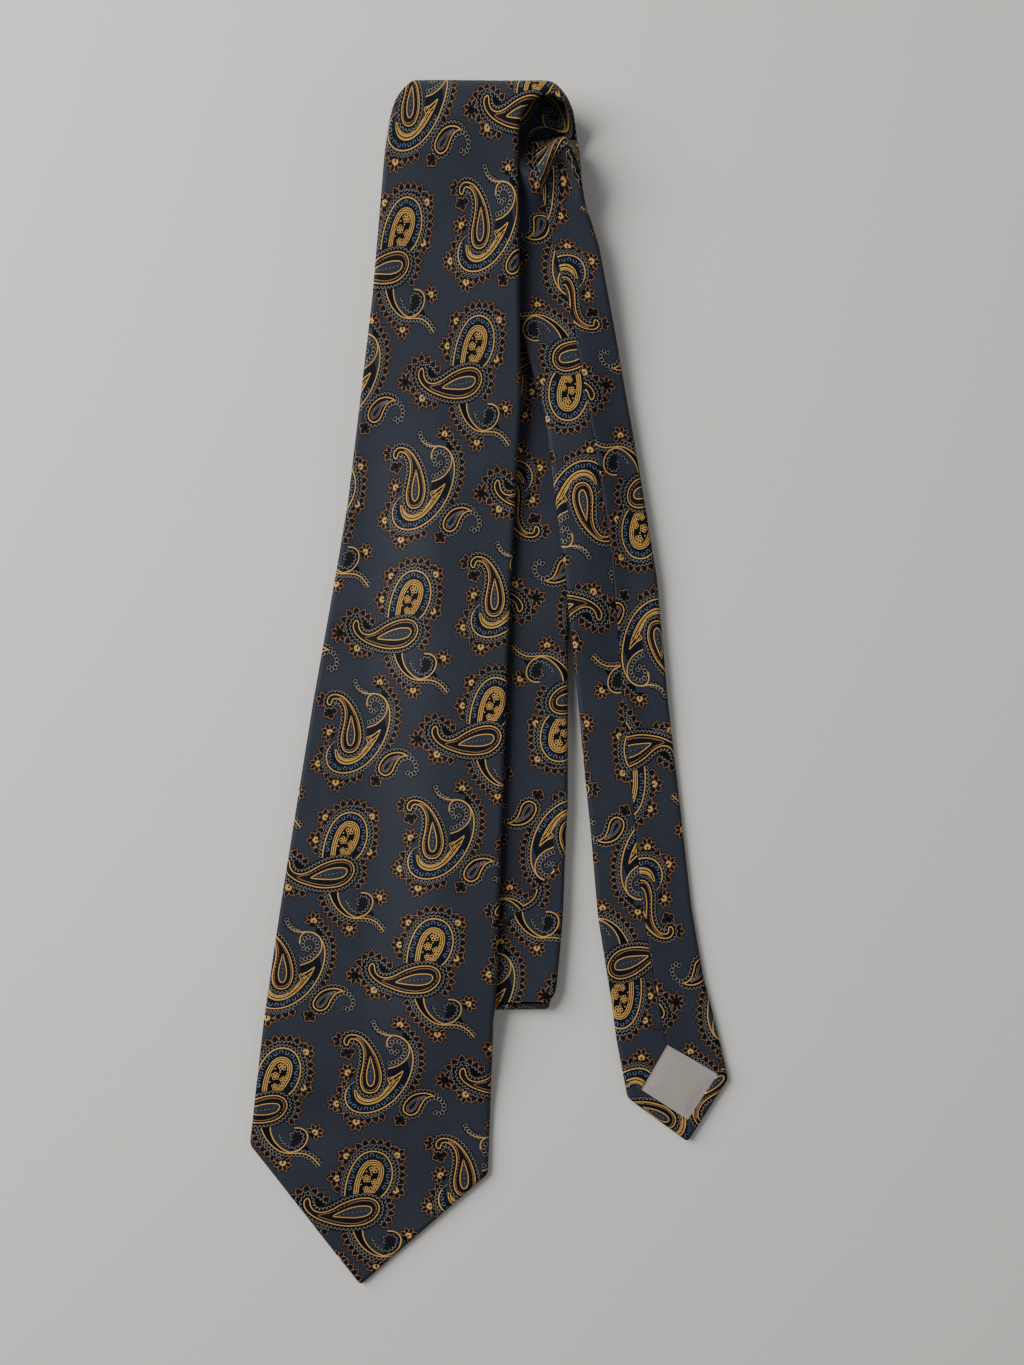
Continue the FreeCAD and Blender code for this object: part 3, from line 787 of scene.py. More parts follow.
def blade_s(y):
    return BLADE_PATH.s_of(y)


def tail_s(y):
    return TAIL_PATH.s_of(y)


def under_s(y):
    return STACK_PATH.s_of(y, 0, TURN)


def neck_s(y):
    return STACK_PATH.s_of(y, TURN, None)


def on(path_s, points):
    """Plan points (x, y) as (x, s)."""
    return [(x, float(path_s(y))) for x, y in points]


BLADE_LEFT = [(-85.9, -161.6), (-80.9, -119.8), (-77.6, -96.1), (-74.2, -73.2), (-62.8, -2.0),
              (-50.2, 69.0), (-40.8, 138.9), (-36.0, 188.0)]
BLADE_RIGHT = [(-0.3, -172.0), (1.7, -116.2), (2.6, -108.7), (5.1, -37.3), (7.6, 33.3), (11.5, 103.7),
               (10.8, 159.0), (10.4, 188.0)]
BLADE_TIP = (-46.1, -212.1)
TAIL_LEFT = [(49.7, -144.8), (45.9, -124.8), (43.4, -106.9), (39.1, -79.7), (36.6, -50.4), (33.9, -23.5),
             (31.7, -0.2), (28.9, 24.3), (27.1, 43.4), (23.5, 70.8), (20.0, 99.6), (12.4, 125.0),
             (3.2, 170.0), (1.4, 185.0)]
TAIL_RIGHT = [(86.0, -138.0), (81.3, -118.0), (77.0, -101.5), (72.7, -76.5), (68.4, -37.8), (64.1, -2.1),
              (60.1, 41.5), (56.8, 62.1), (52.0, 90.3), (46.1, 122.8), (39.2, 158.3), (34.6, 172.7),
              (32.5, 184.0)]
TAIL_TIP = (71.3, -160.6)
NECK_RIGHT = [(21.8, -109.0), (23.5, -107.4), (24.3, -104.0), (25.2, -94.2), (26.5, -79.2), (27.2, -58.9),
              (28.2, -39.4), (28.2, 15.8), (30.5, 100.0), (31.5, 180.0)]
NECK_LEFT = [(-11.0, -109.0), (-7.8, -79.5), (-6.0, -40.0), (-5.0, 16.0), (-2.0, 100.0), (1.0, 180.0)]
UNDER_RIGHT = [(32.4, 186.0), (29.0, 150.0), (24.0, 100.0), (22.5, 0.0), (22.0, -60.0), (21.4, -109.0)]
UNDER_LEFT = [(-14.0, 190.0), (-15.0, 110.0), (-14.0, 0.0), (-13.0, -60.0), (-11.0, -109.0)]
SEAM = [(63.8, -125.5), (63.1, -123.0), (58.4, -96.2), (55.2, -77.2), (49.8, -18.1), (45.4, 29.3),
        (42.4, 57.6), (37.3, 89.9), (32.3, 118.5), (29.8, 133.3), (20.5, 168.5), (16.0, 195.0)]
BLADE_SEAM = [(-37.4, -128.0), (-33.0, -80.0), (-27.5, -2.0), (-19.4, 70.0), (-14.8, 138.0), (-12.5, 194.0)]
# the folded edges round each lining: upper corner, left, lower, right
TAIL_WINDOW = [(63.8, -125.5), (54.5, -141.6), (71.3, -152.5), (82.0, -136.2)]
BLADE_WINDOW = [(-37.4, -128.0), (-79.6, -152.4), (-45.6, -203.0), (-6.4, -163.5)]
# the slanting edges of the outer loop, which carry the run to the right
LOOP_RIGHT = on(blade_s, [(10.6, 195.0), (11.2, 199.0), (12.6, 202.8), (15.0, 205.8), (18.2, 207.8),
                          (21.6, 208.6), (25.2, 209.2), (28.4, 211.6)])
LOOP_RIGHT += [(30.0, CUT_S), (31.0, CUT_S + 5), (31.8, CUT_S + 10), (32.2, CUT_S + 18)]
LOOP_LEFT = on(blade_s, [(-34.4, 198.0), (-32.6, 205.0), (-30.2, 209.4), (-28.2, 212.0)])
LOOP_LEFT += [(-26.0, CUT_S), (-22.5, CUT_S + 8), (-17.0, CUT_S + 16)]
SPARE = 12.0                  # outlines run on past a loop's cut, so that no edge rolls there
STACK_END = STACK_PATH.s[-1]


def between(points, low, high=1e9):
    """The plan points whose length along the cloth lies from low to high."""
    return [p for p in points if low <= p[1] <= high]


blade_line = [BLADE_TIP] + on(blade_s, BLADE_RIGHT) + between(LOOP_RIGHT, -300, CUT_S + SPARE)
blade_line += between(LOOP_LEFT, -300, CUT_S + SPARE)[::-1] + on(blade_s, BLADE_LEFT)[::-1]
tail_line = on(tail_s, [TAIL_TIP] + TAIL_RIGHT)
tail_line += [(32.0, CUT_T), (32.0, CUT_T + SPARE), (1.0, CUT_T + SPARE), (1.0, CUT_T)]
tail_line += on(tail_s, TAIL_LEFT)[::-1]
stack_line = between(LOOP_LEFT, CUT_S - SPARE) + on(under_s, UNDER_LEFT) + on(neck_s, NECK_LEFT)
stack_line += [(1.0, STACK_END), (1.0, STACK_END + SPARE), (32.0, STACK_END + SPARE), (32.0, STACK_END)]
stack_line += on(neck_s, NECK_RIGHT)[::-1] + on(under_s, UNDER_RIGHT)[::-1]
stack_line += between(LOOP_RIGHT, CUT_S - SPARE)[::-1]


# ---- how each run gives ------------------------------------------------------
def ease(t):
    t = np.clip(t, 0, 1)
    return t * t * (3 - 2 * t)


def blade_relief(x, s):
    """The blade sinks where no run lies under it, and ripples a little."""
    low = 5.2 * ease((-16 - x) / 30) * ease((s + 150) / 50) * ease((150 - s) / 110)
    soft = 0.22 * np.sin(x / 17 + s / 41) * np.sin(s / 29 + 1.3) + 0.12 * np.sin(x / 9 - s / 23)
    return -low + soft


def tail_relief(x, s):
    """The tail's right side slides off the neck run."""
    over = ease((s + 10) / 40) * ease((165 - s) / 60)
    return -3.2 * ease((x - 32) / 20) * over + 0.15 * np.sin(x / 8 + s / 25) * np.sin(s / 31)


def stack_relief(x, s):
    return 0.10 * np.sin(x / 9 + s / 27)


# x and how far along the tie the cloth is drawn there: the inner loop's lip, which bends to and
# fro across the run, and the outer loop's right end, which turns down towards the tail
WAVE = np.array([(0, 0.5), (8, 0.0), (11, -1.5), (14.5, -5.0), (16.8, -6.2), (18.6, -4.6), (20.6, -0.6),
                 (22.2, 3.0), (24.6, 5.6), (27, 6.0), (28.8, 3.0), (30.5, -0.8), (32, -2.5), (34, -3.0)])


TURN_DOWN = np.array([(19, 0), (21, -0.2), (23.4, -1.0), (26, -3.6), (28, -6.6), (29.5, -9.4),
                      (31, -12.4), (33, -15)])


def softly(x, keys):
    """The keys' value at x, with their corners rounded off."""
    near = [np.interp(x + k, *keys.T) for k in (-0.8, -0.4, 0, 0.4, 0.8)]
    return np.mean(near, axis=0)


def loop_sway(x, s):
    rise, fall = ease((s - blade_s(188)) / 15), 1 - ease((s - (CUT_S + 6)) / 50)
    return softly(x, TURN_DOWN) * rise * fall


def tail_sway(x, s):
    return softly(x, WAVE) * ease((s - (CUT_T - 34)) / 16) * (1 - 0.9 * ease((s - (CUT_T - 12)) / 11))


def stack_sway(x, s):
    return 0.1 * softly(x, WAVE) * ease((s - (STACK_END - 12)) / 12) + loop_sway(x, s)


BLADE = Run(blade_line, BLADE_PATH, blade_relief, loop_sway)
TAIL = Run(tail_line, TAIL_PATH, tail_relief, tail_sway)
STACK = Run(stack_line, STACK_PATH, stack_relief, stack_sway)


# ---- how the print lies -----------------------------------------------------
def lay_blade(p):
    """The print on the blade, a little wider at its lower end."""
    u, w = p[:, 0], p[:, 1] / 100
    x = -19.4 + 2.85 * w + 0.987 * u - 0.065 * u * w + 0.97 * w * w
    y = -50.5 + 99.9 * w + 0.94 * w * w + 0.39 * w ** 3
    return np.column_stack([x, np.where(y < 195, blade_s(y), y - 195 + blade_s(195))])


def lay(x, s, turn=0.0, wide=1.0, high=1.0):
    """The print with its origin at plan (x, s), scaled and turned."""
    c, n = math.cos(math.radians(turn)), math.sin(math.radians(turn))
    return lambda p: np.column_stack([x + c * wide * p[:, 0] - n * high * p[:, 1],
                                      s + n * wide * p[:, 0] + c * high * p[:, 1]])


def lay_tail(base, left, drop):
    """The tail's print, which slides aside as the run comes up to the inner loop."""
    def laid(p):
        v = base(p)
        y = np.interp(v[:, 1], TAIL_PATH.s, TAIL_PATH.line[:, 0])
        soon, late = ease((y - 105) / 50), ease((y - 158) / 27)
        return v - np.column_stack([left[0] * soon + left[1] * late, drop[0] * soon + drop[1] * late])
    return laid


def beyond(p, q):
    """Distance to the left of the line from p to q, as a function of plan points."""
    (x0, s0), (x1, s1) = p, q
    size = math.hypot(x1 - x0, s1 - s0)
    return lambda v: ((x1 - x0) * (v[:, 1] - s0) - (s1 - s0) * (v[:, 0] - x0)) / size


LIP_STEPS = (0.08, 0.2, 0.35, 0.55)      # distances from a folded edge where it is cut to curve


def lip(d, width=0.55, deep=0.45):
    """A folded edge: how far the cloth rounds down at distance d from it."""
    return deep * (np.sqrt(np.clip(1 - (1 - np.clip(d / width, 0, 1)) ** 2, 0, 1)) - 1)


def seam_side(run, side, seam, window, path_s, tiles, lays, start, end, lap=0.45):
    """The face with the seam: two flaps that meet, two hems and the lining's window.
    tiles gives the print for the flaps and hems; lays is (left, right, left hem, right hem)."""
    x, s = np.array(on(path_s, seam)).T
    top, left, low, right = on(path_s, window)

    def seam_x(v):
        return v[:, 0] - np.interp(v[:, 1], s, x)

    over_left, over_right = beyond(top, left), beyond(right, top)
    under_left, under_right = beyond(low, left), beyond(right, low)
    middle = beyond(low, (low[0], low[1] + 10))

    def flap_lift(sign):
        def lift(v):
            d = seam_x(v) * sign
            edge = -over_right(v) if sign > 0 else -over_left(v)
            up = lap * (1 - ease(d / 8)) if sign > 0 else 0.0
            seam_lip = lip(d, deep=0.25 + 0.45 * (sign > 0)) * (v[:, 1] > top[1])
            return up + seam_lip + lip(edge)
        return lift

    parts = []
    for sign, edge, its_lay in ((-1, over_left, lays[0]), (1, over_right, lays[1])):
        clips = [lambda v, k=sign: k * seam_x(v), lambda v, e=edge: -e(v),
                 lambda v: -under_left(v), lambda v: -under_right(v)]
        slices = [lambda v, k=sign, d=d: k * seam_x(v) - d for d in LIP_STEPS]
        slices += [lambda v, e=edge, d=d: -e(v) - d for d in LIP_STEPS]
        parts.append(run.skin(tiles[0], its_lay, side, (start, end), clips, flap_lift(sign), slices))
    for sign, edge, its_lay in ((1, under_left, lays[2]), (-1, under_right, lays[3])):
        clips = [lambda v, e=edge: e(v), lambda v, k=sign: k * middle(v)]
        slices = [lambda v, e=edge, d=d: e(v) - d for d in LIP_STEPS]

        def hem_lift(v, e=edge, k=sign):
            return 0.12 + lip(e(v), deep=0.55) + lip(k * middle(v), deep=0.2)
        parts.append(run.skin(tiles[1], its_lay, side, (start, end), clips, hem_lift, slices))
    return parts


def lining(run, side, window, path_s, step=1.5, grow=1.0, deep=0.5):
    """The lining in a window, a little below the folded edges, and tucked under them by grow."""
    corners = on(path_s, window)
    clips = [lambda v, g=beyond(corners[k], corners[(k + 1) % 4]): g(v) + grow for k in range(4)]

    def puff(v):
        inside = np.min([g(v) for g in clips], axis=0)
        soft = 0.10 * np.sin(v[:, 0] / 3.1 + v[:, 1] / 4.3) * np.sin(v[:, 0] / 5.3 - v[:, 1] / 3.7)
        return -deep + (0.42 + soft) * ease((inside - grow) / 5)
    return run.skin(Plain(step), None, side, (-300, 300), clips, puff)


# ---- the silk -----------------------------------------------------------------
fine = Tile(build_print())
coarse = Tile(build_print(False), 10)     # for what only a pose shows
FAR = -300.0                              # before the start of any run
blade_parts = [BLADE.skin(fine, lay_blade, 1, (FAR, CUT_S))]
blade_parts += seam_side(BLADE, -1, BLADE_SEAM, BLADE_WINDOW, blade_s, (coarse, coarse),
                         (lay(-60, 20, 8, -1), lay(2, 35, -4, -1), lay(-60, -180, 150), lay(-20, -180, 40)),
                         FAR, CUT_S, 0.35)
tail_parts = seam_side(TAIL, 1, SEAM, TAIL_WINDOW, tail_s, (fine, fine),
                       (lay_tail(lay(33.5, float(tail_s(67)), 187, 0.96, 1.05), (5.8, 6.0), (2.9, 0.0)),
                        lay_tail(lay(60.5, float(tail_s(18)), 188.6, 0.96, 1.07), (2.4, 5.0), (6.2, 5.0)),
                        lay(60, -150, 60), lay(80, -140, 130)), FAR, CUT_T)
tail_parts += [TAIL.skin(coarse, lay(30, 20, 7), -1, (FAR, CUT_T))]
neck_slices = [lambda v, k=k: v[:, 1] - (NECK_S + 0.5 * k) for k in range(-14, 15)]
BIAS = [(9.7, neck_s(-78.2)), (20.1, neck_s(-66.1))]
bias_seam = beyond(BIAS[0], BIAS[1])
stack_parts = [
    STACK.skin(fine, lay_blade, 1, (CUT_S, CUT_S + 30)),
    STACK.skin(coarse, lay(10, NECK_S - 80, 2), 1, (CUT_S + 30, NECK_S - 8)),
    STACK.skin(fine, lay(12, float(neck_s(-20)), 2), 1, (NECK_S - 8, STACK_END), [lambda v: -bias_seam(v)],
               lambda v: lip(-bias_seam(v), deep=0.2), neck_slices),
    STACK.skin(fine, lay(29.0, float(neck_s(-52.6)), 184.5), 1, (NECK_S - 8, STACK_END), [bias_seam],
               lambda v: lip(bias_seam(v), deep=0.2)),
    STACK.skin(coarse, lay(10, NECK_S), -1, (CUT_S, STACK_END), slices=neck_slices)]


# ---- materials --------------------------------------------------------------
def rgb(r, g, b):
    return tuple((c / 255) ** 2.2 for c in (r, g, b)) + (1.0,)


class Cloth:
    """A material drawn with procedural nodes on the flat cloth, in mm."""

    def __init__(self, name, **shader):
        self.material = bpy.data.materials.new(name)
        self.material.use_nodes = True
        self.tree = self.material.node_tree
        self.shader = self.tree.nodes["Principled BSDF"]
        self.feed(self.shader, {key.replace("_", " "): value for key, value in shader.items()})
        self.flat = self.put("Attribute", {}, attribute_name="cloth").outputs["Vector"]

    def feed(self, node, inputs):
        """Sets a node's inputs, or links those that are another node's output."""
        for key, value in inputs.items():
            if isinstance(value, bpy.types.NodeSocket):
                self.tree.links.new(value, node.inputs[key])
            else:
                node.inputs[key].default_value = value

    def put(self, kind, inputs, **settings):
        node = self.tree.nodes.new("ShaderNode" + kind)
        for key, value in settings.items():
            setattr(node, key, value)
        self.feed(node, inputs)
        return node

    def noise(self, scale, detail, **inputs):
        inputs = {"Scale": scale, "Detail": detail, "Vector": self.flat, **inputs}
        return self.put("TexNoise", inputs).outputs["Fac"]

    def ribs(self, turn, scale, **inputs):
        """Ribs of the weave across the cloth, at turn degrees."""
        spin = self.put("Mapping", {"Rotation": (0, 0, math.radians(turn)), "Vector": self.flat})
        inputs = {key.replace("_", " "): value for key, value in inputs.items()}
        inputs = {"Scale": scale, "Vector": spin.outputs["Vector"], **inputs}
        return self.put("TexWave", inputs, wave_type="BANDS", bands_direction="X").outputs["Fac"]

    def spread(self, value, low, high, first=0.0, last=1.6):
        """A value between first and last taken to between low and high."""
        ends = {"From Min": first, "From Max": last, "To Min": low, "To Max": high}
        return self.put("MapRange", {**ends, "Value": value}).outputs["Result"]

    def colour(self, socket):
        self.feed(self.shader, {"Base Color": socket})

    def two_tone(self, factor, colour, dark, light):
        """A colour that varies from dark to light times itself."""
        ends = [tuple(min(1, c * k) for c in colour[:3]) + (1,) for k in (dark, light)]
        inputs = {"A": ends[0], "B": ends[1], "Factor": factor}
        self.colour(self.put("Mix", inputs, data_type="RGBA").outputs["Result"])

    def emboss(self, height, strength, deep):
        bump = self.put("Bump", {"Strength": strength, "Distance": deep, "Height": height})
        self.feed(self.shader, {"Normal": bump.outputs["Normal"]})


SILK_ROUGH = 0.6
SILK_VARY = 0.26 * 1.6        # how much the ribs and the grain change the ink


def silk(name, colour):
    """Printed silk twill: fine slanting ribs, a soft sheen and slightly uneven ink."""
    m = Cloth(name, Sheen_Weight=0.03, Sheen_Roughness=0.4, Specular_IOR_Level=0.14)
    rib = m.ribs(52, 0.62, Distortion=0.8, Detail=1.0, Detail_Scale=3.0)
    grain = m.noise(0.75, 4.0, Roughness=0.65)
    weave = m.put("Math", {0: grain, 1: 0.6, 2: rib}, operation="MULTIPLY_ADD").outputs[0]
    shade = m.spread(weave, 1 - SILK_VARY, 1 + SILK_VARY)
    inked = m.put("Mix", {"Factor": 1.0, "A": colour, "B": shade}, data_type="RGBA", blend_type="MULTIPLY")
    cloud = m.spread(m.noise(0.045, 2.0), 0.90, 1.10, 0.3, 0.7)
    m.colour(m.put("HueSaturation", {"Value": cloud, "Color": inked.outputs["Result"]}).outputs["Color"])
    m.feed(m.shader, {"Roughness": m.spread(weave, SILK_ROUGH + 0.10, SILK_ROUGH - 0.06)})
    m.emboss(weave, 0.35, 0.00012)
    return m.material


def woven(name, colour):
    """A plain woven lining: two crossed sets of ribs."""
    m = Cloth(name, Roughness=0.6, Sheen_Weight=0.1)
    across, along = (m.ribs(turn, 2.2, Distortion=1.2, Detail_Scale=2.0) for turn in (38, 128))
    both = m.put("Math", {0: across, 1: along}, operation="MULTIPLY").outputs[0]
    m.two_tone(both, colour, 0.86, 1.1)
    m.emboss(both, 0.5, 0.00015)
    return m.material


def plain(name, colour, rough, sheen, speck, scale=1.4):
    """A plain material with a little unevenness: thread, felted wool or satin."""
    m = Cloth(name, Roughness=rough, Sheen_Weight=sheen)
    grain = m.noise(scale, 5.0)
    m.two_tone(grain, colour, 1 - speck, 1 + speck)
    m.emboss(grain, 0.4, 0.0001)
    return m.material


# in the order of the print's labels
INK = [("ground", (51, 54, 63)), ("black", (7, 8, 10)), ("gold", (200, 156, 86)),
       ("copper", (140, 102, 76)), ("grey", (128, 122, 118)), ("blue", (92, 106, 128)),
       ("navy", (18, 24, 36)), ("heart", (50, 56, 68)), ("dusk", (24, 26, 32))]
INKS = [silk("silk_" + name, rgb(*c)) for name, c in INK]
TIPPING = woven("lining_silk", rgb(181, 172, 162))
WOOL = plain("wool_interlining", rgb(196, 188, 170), 0.95, 0.3, 0.25, 0.9)
THREAD = plain("sewing_thread", rgb(36, 40, 54), 0.55, 0.1, 0.12)
SATIN = plain("label_satin", rgb(30, 34, 46), 0.32, 0.2, 0.08)

blade = piece("blade_silk", blade_parts, INKS)
tail = piece("tail_silk", tail_parts, INKS)
stack = piece("stack_silk", stack_parts, INKS)
blade_lining = piece("blade_tipping", [lining(BLADE, -1, BLADE_WINDOW, blade_s)], [TIPPING])
tail_lining = piece("tail_tipping", [lining(TAIL, 1, TAIL_WINDOW, tail_s)], [TIPPING])


# ---- what lies inside and behind the silk --------------------------------------
def solid(name, parts, material):
    """One mesh from parts of (points, faces, plan points)."""
    count = np.cumsum([0] + [len(p[0]) for p in parts[:-1]])
    points = np.vstack([p[0] for p in parts]) * MM
    faces = [tuple(int(v) + int(k) for v in f) for (_, fs, _), k in zip(parts, count) for f in fs]
    mesh = bpy.data.meshes.new(name)
    mesh.from_pydata(points.tolist(), [], faces)
    mesh.polygons.foreach_set("use_smooth", np.ones(len(faces), bool))
    return show(name, mesh, np.vstack([p[2] for p in parts]), [material])


def stations(a, b, step, ease_in):
    """Places from a to b, closer together where the slab's edges round off."""
    near = ease_in * (1 - np.cos(np.linspace(0, math.pi / 2, 5)))
    inner = np.linspace(a + ease_in, b - ease_in, max(2, int((b - a) / step)))
    return np.unique(np.round(np.r_[a + near, inner, b - near], 5))


def slab(run, left, right, s0, s1, low, high, step=3.0, soft=0.4):
    """A closed slab from low to high off a run's middle, between two edges given along it."""
    across, along = stations(0, 1, 0.08, 0.02), stations(s0, s1, step, soft)
    t, s = np.meshgrid(across, along, indexing="ij")
    lx, rx = left(s), right(s)
    x = lx + (rx - lx) * t
    edge = np.minimum.reduce([t * (rx - lx), (1 - t) * (rx - lx), s - s0, s1 - s]) / soft
    full = np.sqrt(np.clip(1 - (1 - np.clip(edge, 0, 1)) ** 2, 0, 1)).ravel()
    mid, half = (low + high) / 2, (high - low) / 2
    x, s = x.ravel(), s.ravel()
    top, bottom = run.place(x, s, mid + half * full), run.place(x, s, mid - half * full)
    rows, cols, n = len(across), len(along), len(x)
    i, j = (a.ravel() for a in np.meshgrid(range(rows - 1), range(cols - 1), indexing="ij"))
    q = np.column_stack([i * cols + j, (i + 1) * cols + j, (i + 1) * cols + j + 1, i * cols + j + 1])
    inner = np.zeros((rows, cols), bool)
    inner[1:-1, 1:-1] = True
    under = np.where(inner.ravel(), n + np.arange(n), np.arange(n))
    plan = np.column_stack([x, s])
    return np.vstack([top, bottom]), np.vstack([q, under[q][:, ::-1]]), np.vstack([plan, plan])


def edge_line(path_s, points, inset=0.0):
    """An edge's x as a function of the length along the cloth, moved inwards."""
    x, s = np.array(sorted(on(path_s, points), key=lambda p: p[1])).T
    return lambda v: np.interp(v, s, x) + inset


def wool(run, path_s, left, right, y0, y1, low, high):
    """The interlining between two edges of a run, from y0 to y1."""
    return slab(run, edge_line(path_s, left, WOOL_INSET), edge_line(path_s, right, -WOOL_INSET),
                float(path_s(y0)), float(path_s(y1)), low, high)


def strip(run, path_s, x0, x1, y0, y1, low, high, soft):
    """A straight flat strip between two plan lines on each side."""
    return slab(run, lambda s: np.full(np.shape(s), x0), lambda s: np.full(np.shape(s), x1),
                float(path_s(y0)), float(path_s(y1)), low, high, 1.5, soft)


def tube(points, r, plan, sides=6):
    """A round thread along points, closed at its ends."""
    t = np.gradient(points, axis=0)
    t /= np.maximum(np.linalg.norm(t, axis=1), 1e-9)[:, None]
    u = np.cross(t, (0.1, 0.2, 1.0))
    u /= np.maximum(np.linalg.norm(u, axis=1), 1e-9)[:, None]
    w = np.cross(t, u)
    a = np.linspace(0, 2 * math.pi, sides, endpoint=False)
    size = np.ones(len(points))
    size[0] = size[-1] = 0.35
    ring = (u[:, None] * np.cos(a)[:, None] + w[:, None] * np.sin(a)[:, None]) * (r * size)[:, None, None]
    v = (points[:, None] + ring).reshape(-1, 3)
    corners = [(m, (m + 1) % sides) for m in range(sides)]
    faces = [(k * sides + m, k * sides + o, (k + 1) * sides + o, (k + 1) * sides + m)
             for k in range(len(points) - 1) for m, o in corners]
    caps = [tuple(range(sides))[::-1], tuple(range((len(points) - 1) * sides, len(points) * sides))]
    return v, faces + caps, np.repeat(plan, sides, axis=0)


def thread(run, side, a, b, rise, r=0.16, sink=0.12, count=7):
    """One stitch over the cloth from plan point a to b."""
    t = np.linspace(0, 1, count)
    plan = np.outer(1 - t, a) + np.outer(t, b)
    h = side * (run.high - sink + rise * np.sin(math.pi * t))
    return tube(run.place(plan[:, 0], plan[:, 1], h), r, plan)


def slip_stitches(run, side, path_s, seam, first, last, pitch=9.0, length=3.0, rise=0.22):
    """Short stitches lying along a seam, one every pitch."""
    x = edge_line(path_s, seam, -0.15)
    return [thread(run, side, (x(s), s), (x(s + length), s + length), rise)
            for s in np.arange(first, last, pitch)]


def bar_tack(run, side, x, s, wide=7.0, deep=1.2, rise=0.5):
    """Close wraps over two core threads."""
    out = [thread(run, side, (x - wide / 2, s + k), (x + wide / 2, s + k), rise * 0.5) for k in (-0.25, 0.25)]
    for at in np.arange(x - wide / 2 + 0.2, x + wide / 2, 0.36):
        out.append(thread(run, side, (at, s - deep / 2), (at + 0.12, s + deep / 2), rise))
    return out


WOOL_INSET = 3.0              # the interlining's edge inside the fold
KEEPER = (-51.0, -3.0, 4.5, 15.5)         # x and y from and to, on the blade's back
LABEL = (-52.0, -8.0, -34.0, -10.0)
UNDER_SEAM = [(3.0, -104.0), (6.0, 180.0)]
NECK_SEAM = [(9.0, -104.0), (16.0, 180.0)]

blade_point = (BLADE_TIP[0], BLADE_TIP[1] + 5)
tail_point = (TAIL_TIP[0], TAIL_TIP[1] + 4)
blade_wool = solid("blade_interlining_wool", [
    wool(BLADE, blade_s, [blade_point] + BLADE_LEFT, [blade_point] + BLADE_RIGHT,
         -203, 205, -0.5, 0.8)], WOOL)
tail_wool = solid("tail_interlining_wool", [
    wool(TAIL, tail_s, [tail_point] + TAIL_LEFT, [tail_point] + TAIL_RIGHT,
         -152, 186, -0.8, 0.4)], WOOL)
stack_wool = solid("neck_interlining_wool", [
    wool(STACK, under_s, UNDER_LEFT, UNDER_RIGHT, 184, -106, -0.6, 0.6),
    wool(STACK, neck_s, NECK_LEFT, NECK_RIGHT, -106, 184, -0.6, 0.6)], WOOL)

keeper = solid("keeper_band", [strip(BLADE, blade_s, *KEEPER, -1.95, -1.4, 0.4)], INKS[GROUND])
label = solid("plain_label", [strip(BLADE, blade_s, *LABEL, -1.62, -1.34, 0.2)], SATIN)
keeper_ends = [thread(BLADE, -1, (x, blade_s(y)), (x + k, blade_s(y)), 0.75)
               for x, k in ((KEEPER[0] - 0.8, 1.9), (KEEPER[1] + 0.8, -1.9))
               for y in np.arange(5.2, 15.2, 0.8)]
label_edges = [thread(BLADE, -1, (x, blade_s(y) - 0.8), (x, blade_s(y) + 0.8), 0.4)
               for x in np.arange(LABEL[0] + 1, LABEL[1], 2.5) for y in LABEL[2:]]
blade_thread = solid("blade_stitches", slip_stitches(BLADE, -1, blade_s, BLADE_SEAM, -118, 182)
                     + bar_tack(BLADE, -1, -37.6, float(blade_s(-122.5))) + keeper_ends + label_edges, THREAD)
tail_thread = solid("tail_stitches", slip_stitches(TAIL, 1, tail_s, SEAM, -112, 168, rise=0.12)
                    + bar_tack(TAIL, 1, 62.4, float(tail_s(-119.5))), THREAD)
stack_thread = solid("neck_stitches", [
    stitch for path_s, seam, y0, y1 in ((under_s, UNDER_SEAM, 176, -100), (neck_s, NECK_SEAM, -100, 176))
    for stitch in slip_stitches(STACK, -1, path_s, seam, float(path_s(y0)), float(path_s(y1)), 14)], THREAD)


# ---- transforms baked, some pieces attached to the body they move with, and the model's parts they replace hidden ---
def ride_blade(ob):
    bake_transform(ob)


def ride_tail(ob):
    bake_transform(ob)


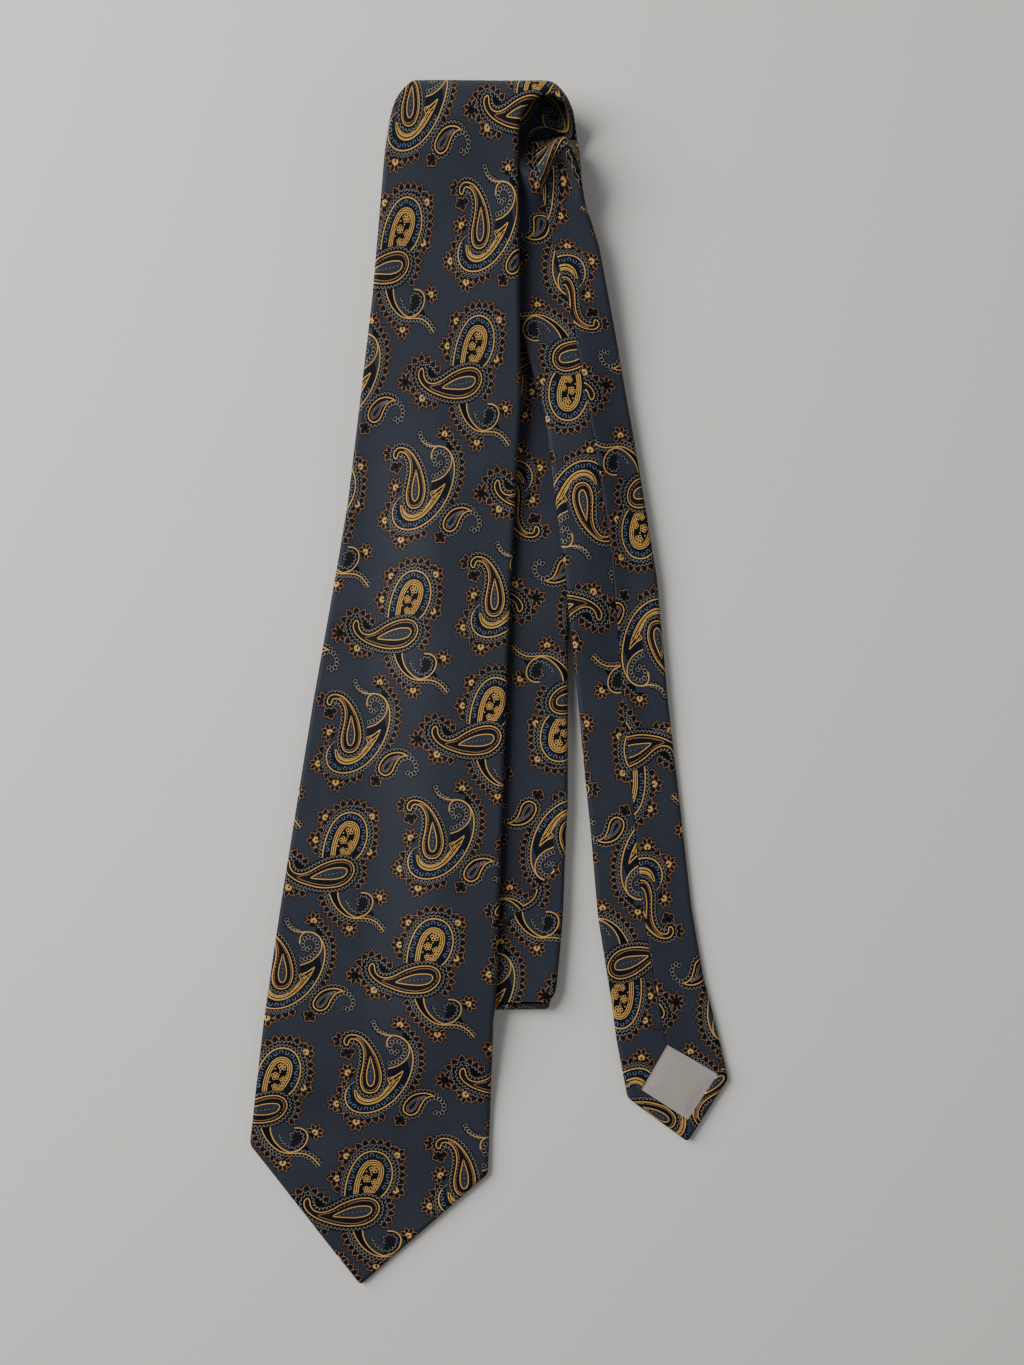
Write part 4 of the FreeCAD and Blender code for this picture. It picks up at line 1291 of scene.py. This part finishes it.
for ob in (blade, blade_lining, blade_wool, blade_thread):
    ride_blade(ob)
for ob in (tail, tail_lining, tail_wool, tail_thread):
    ride_tail(ob)
for ob in (keeper, label):
    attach(ob, "wide_blade")
for ob in (stack, stack_wool, stack_thread):
    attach(ob, "folded_stack")
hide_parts("blade_shell")
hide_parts("blade_interlining")
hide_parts("blade_lining")
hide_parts("blade_slip_stitch", "blade_bar_tack")
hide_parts("keeper_loop")
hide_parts("blank_label")
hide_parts("tail_shell")
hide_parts("tail_interlining")
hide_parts("tail_lining")
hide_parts("tail_slip_stitch", "tail_bar_tack")
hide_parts("outer_fold_shell", "under_run_shell", "neck_fold_shell", "blade_panel_end", "neck_shell",
            "inner_fold_shell")
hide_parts("outer_fold_interlining", "under_run_interlining", "neck_fold_interlining",
            "neck_interlining", "inner_fold_interlining")
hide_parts("under_run_slip_stitch", "neck_slip_stitch")


# ---- floor, light and camera ------------------------------------------------
def floor():
    mesh = bpy.data.meshes.new("floor")
    mesh.from_pydata([(-3, -3, 0), (3, -3, 0), (3, 3, 0), (-3, 3, 0)], [], [(0, 1, 2, 3)])
    ob = bpy.data.objects.new("floor", mesh)
    m = bpy.data.materials.new("floor_paper")
    m.use_nodes = True
    s = m.node_tree.nodes["Principled BSDF"]
    s.inputs["Base Color"].default_value = rgb(234, 231, 224)
    s.inputs["Roughness"].default_value = 0.9
    mesh.materials.append(m)
    bpy.context.scene.collection.objects.link(ob)
    return ob


def lamp(name, place, size, power):
    """A square soft light that faces the tie."""
    data = bpy.data.lights.new(name, "AREA")
    data.shape, data.size, data.size_y = "RECTANGLE", size, size
    data.energy = power
    ob = bpy.data.objects.new(name, data)
    ob.location = place
    ob.rotation_euler = (-Vector(place)).to_track_quat("-Z", "Y").to_euler()
    bpy.context.scene.collection.objects.link(ob)
    return ob


stage = [floor(), lamp("key", (-0.95, 0.5, 0.76), 1.0, 25), lamp("fill", (1.5, -0.3, 1.0), 1.2, 5)]
world = bpy.data.worlds.new("studio")
world.use_nodes = True
world.node_tree.nodes["Background"].inputs[0].default_value = (0.9, 0.93, 1.0, 1)
world.node_tree.nodes["Background"].inputs[1].default_value = 0.13
bpy.context.scene.world = world

VIEW_HIGH = 500.0             # mm; straight above, as in the photo
VIEW_FROM = (8.3 * MM, 4.2 * MM, VIEW_HIGH * MM)
FRAME_HIGH = 491.4            # mm of the table from the picture's top to its bottom
cam_data = bpy.data.cameras.new("camera")
cam_data.sensor_fit = "VERTICAL"
cam_data.angle_y = 2 * math.atan(FRAME_HIGH / 2 / VIEW_HIGH)
camera = bpy.data.objects.new("camera", cam_data)
camera.location = VIEW_FROM
bpy.context.scene.collection.objects.link(camera)
bpy.context.scene.camera = camera
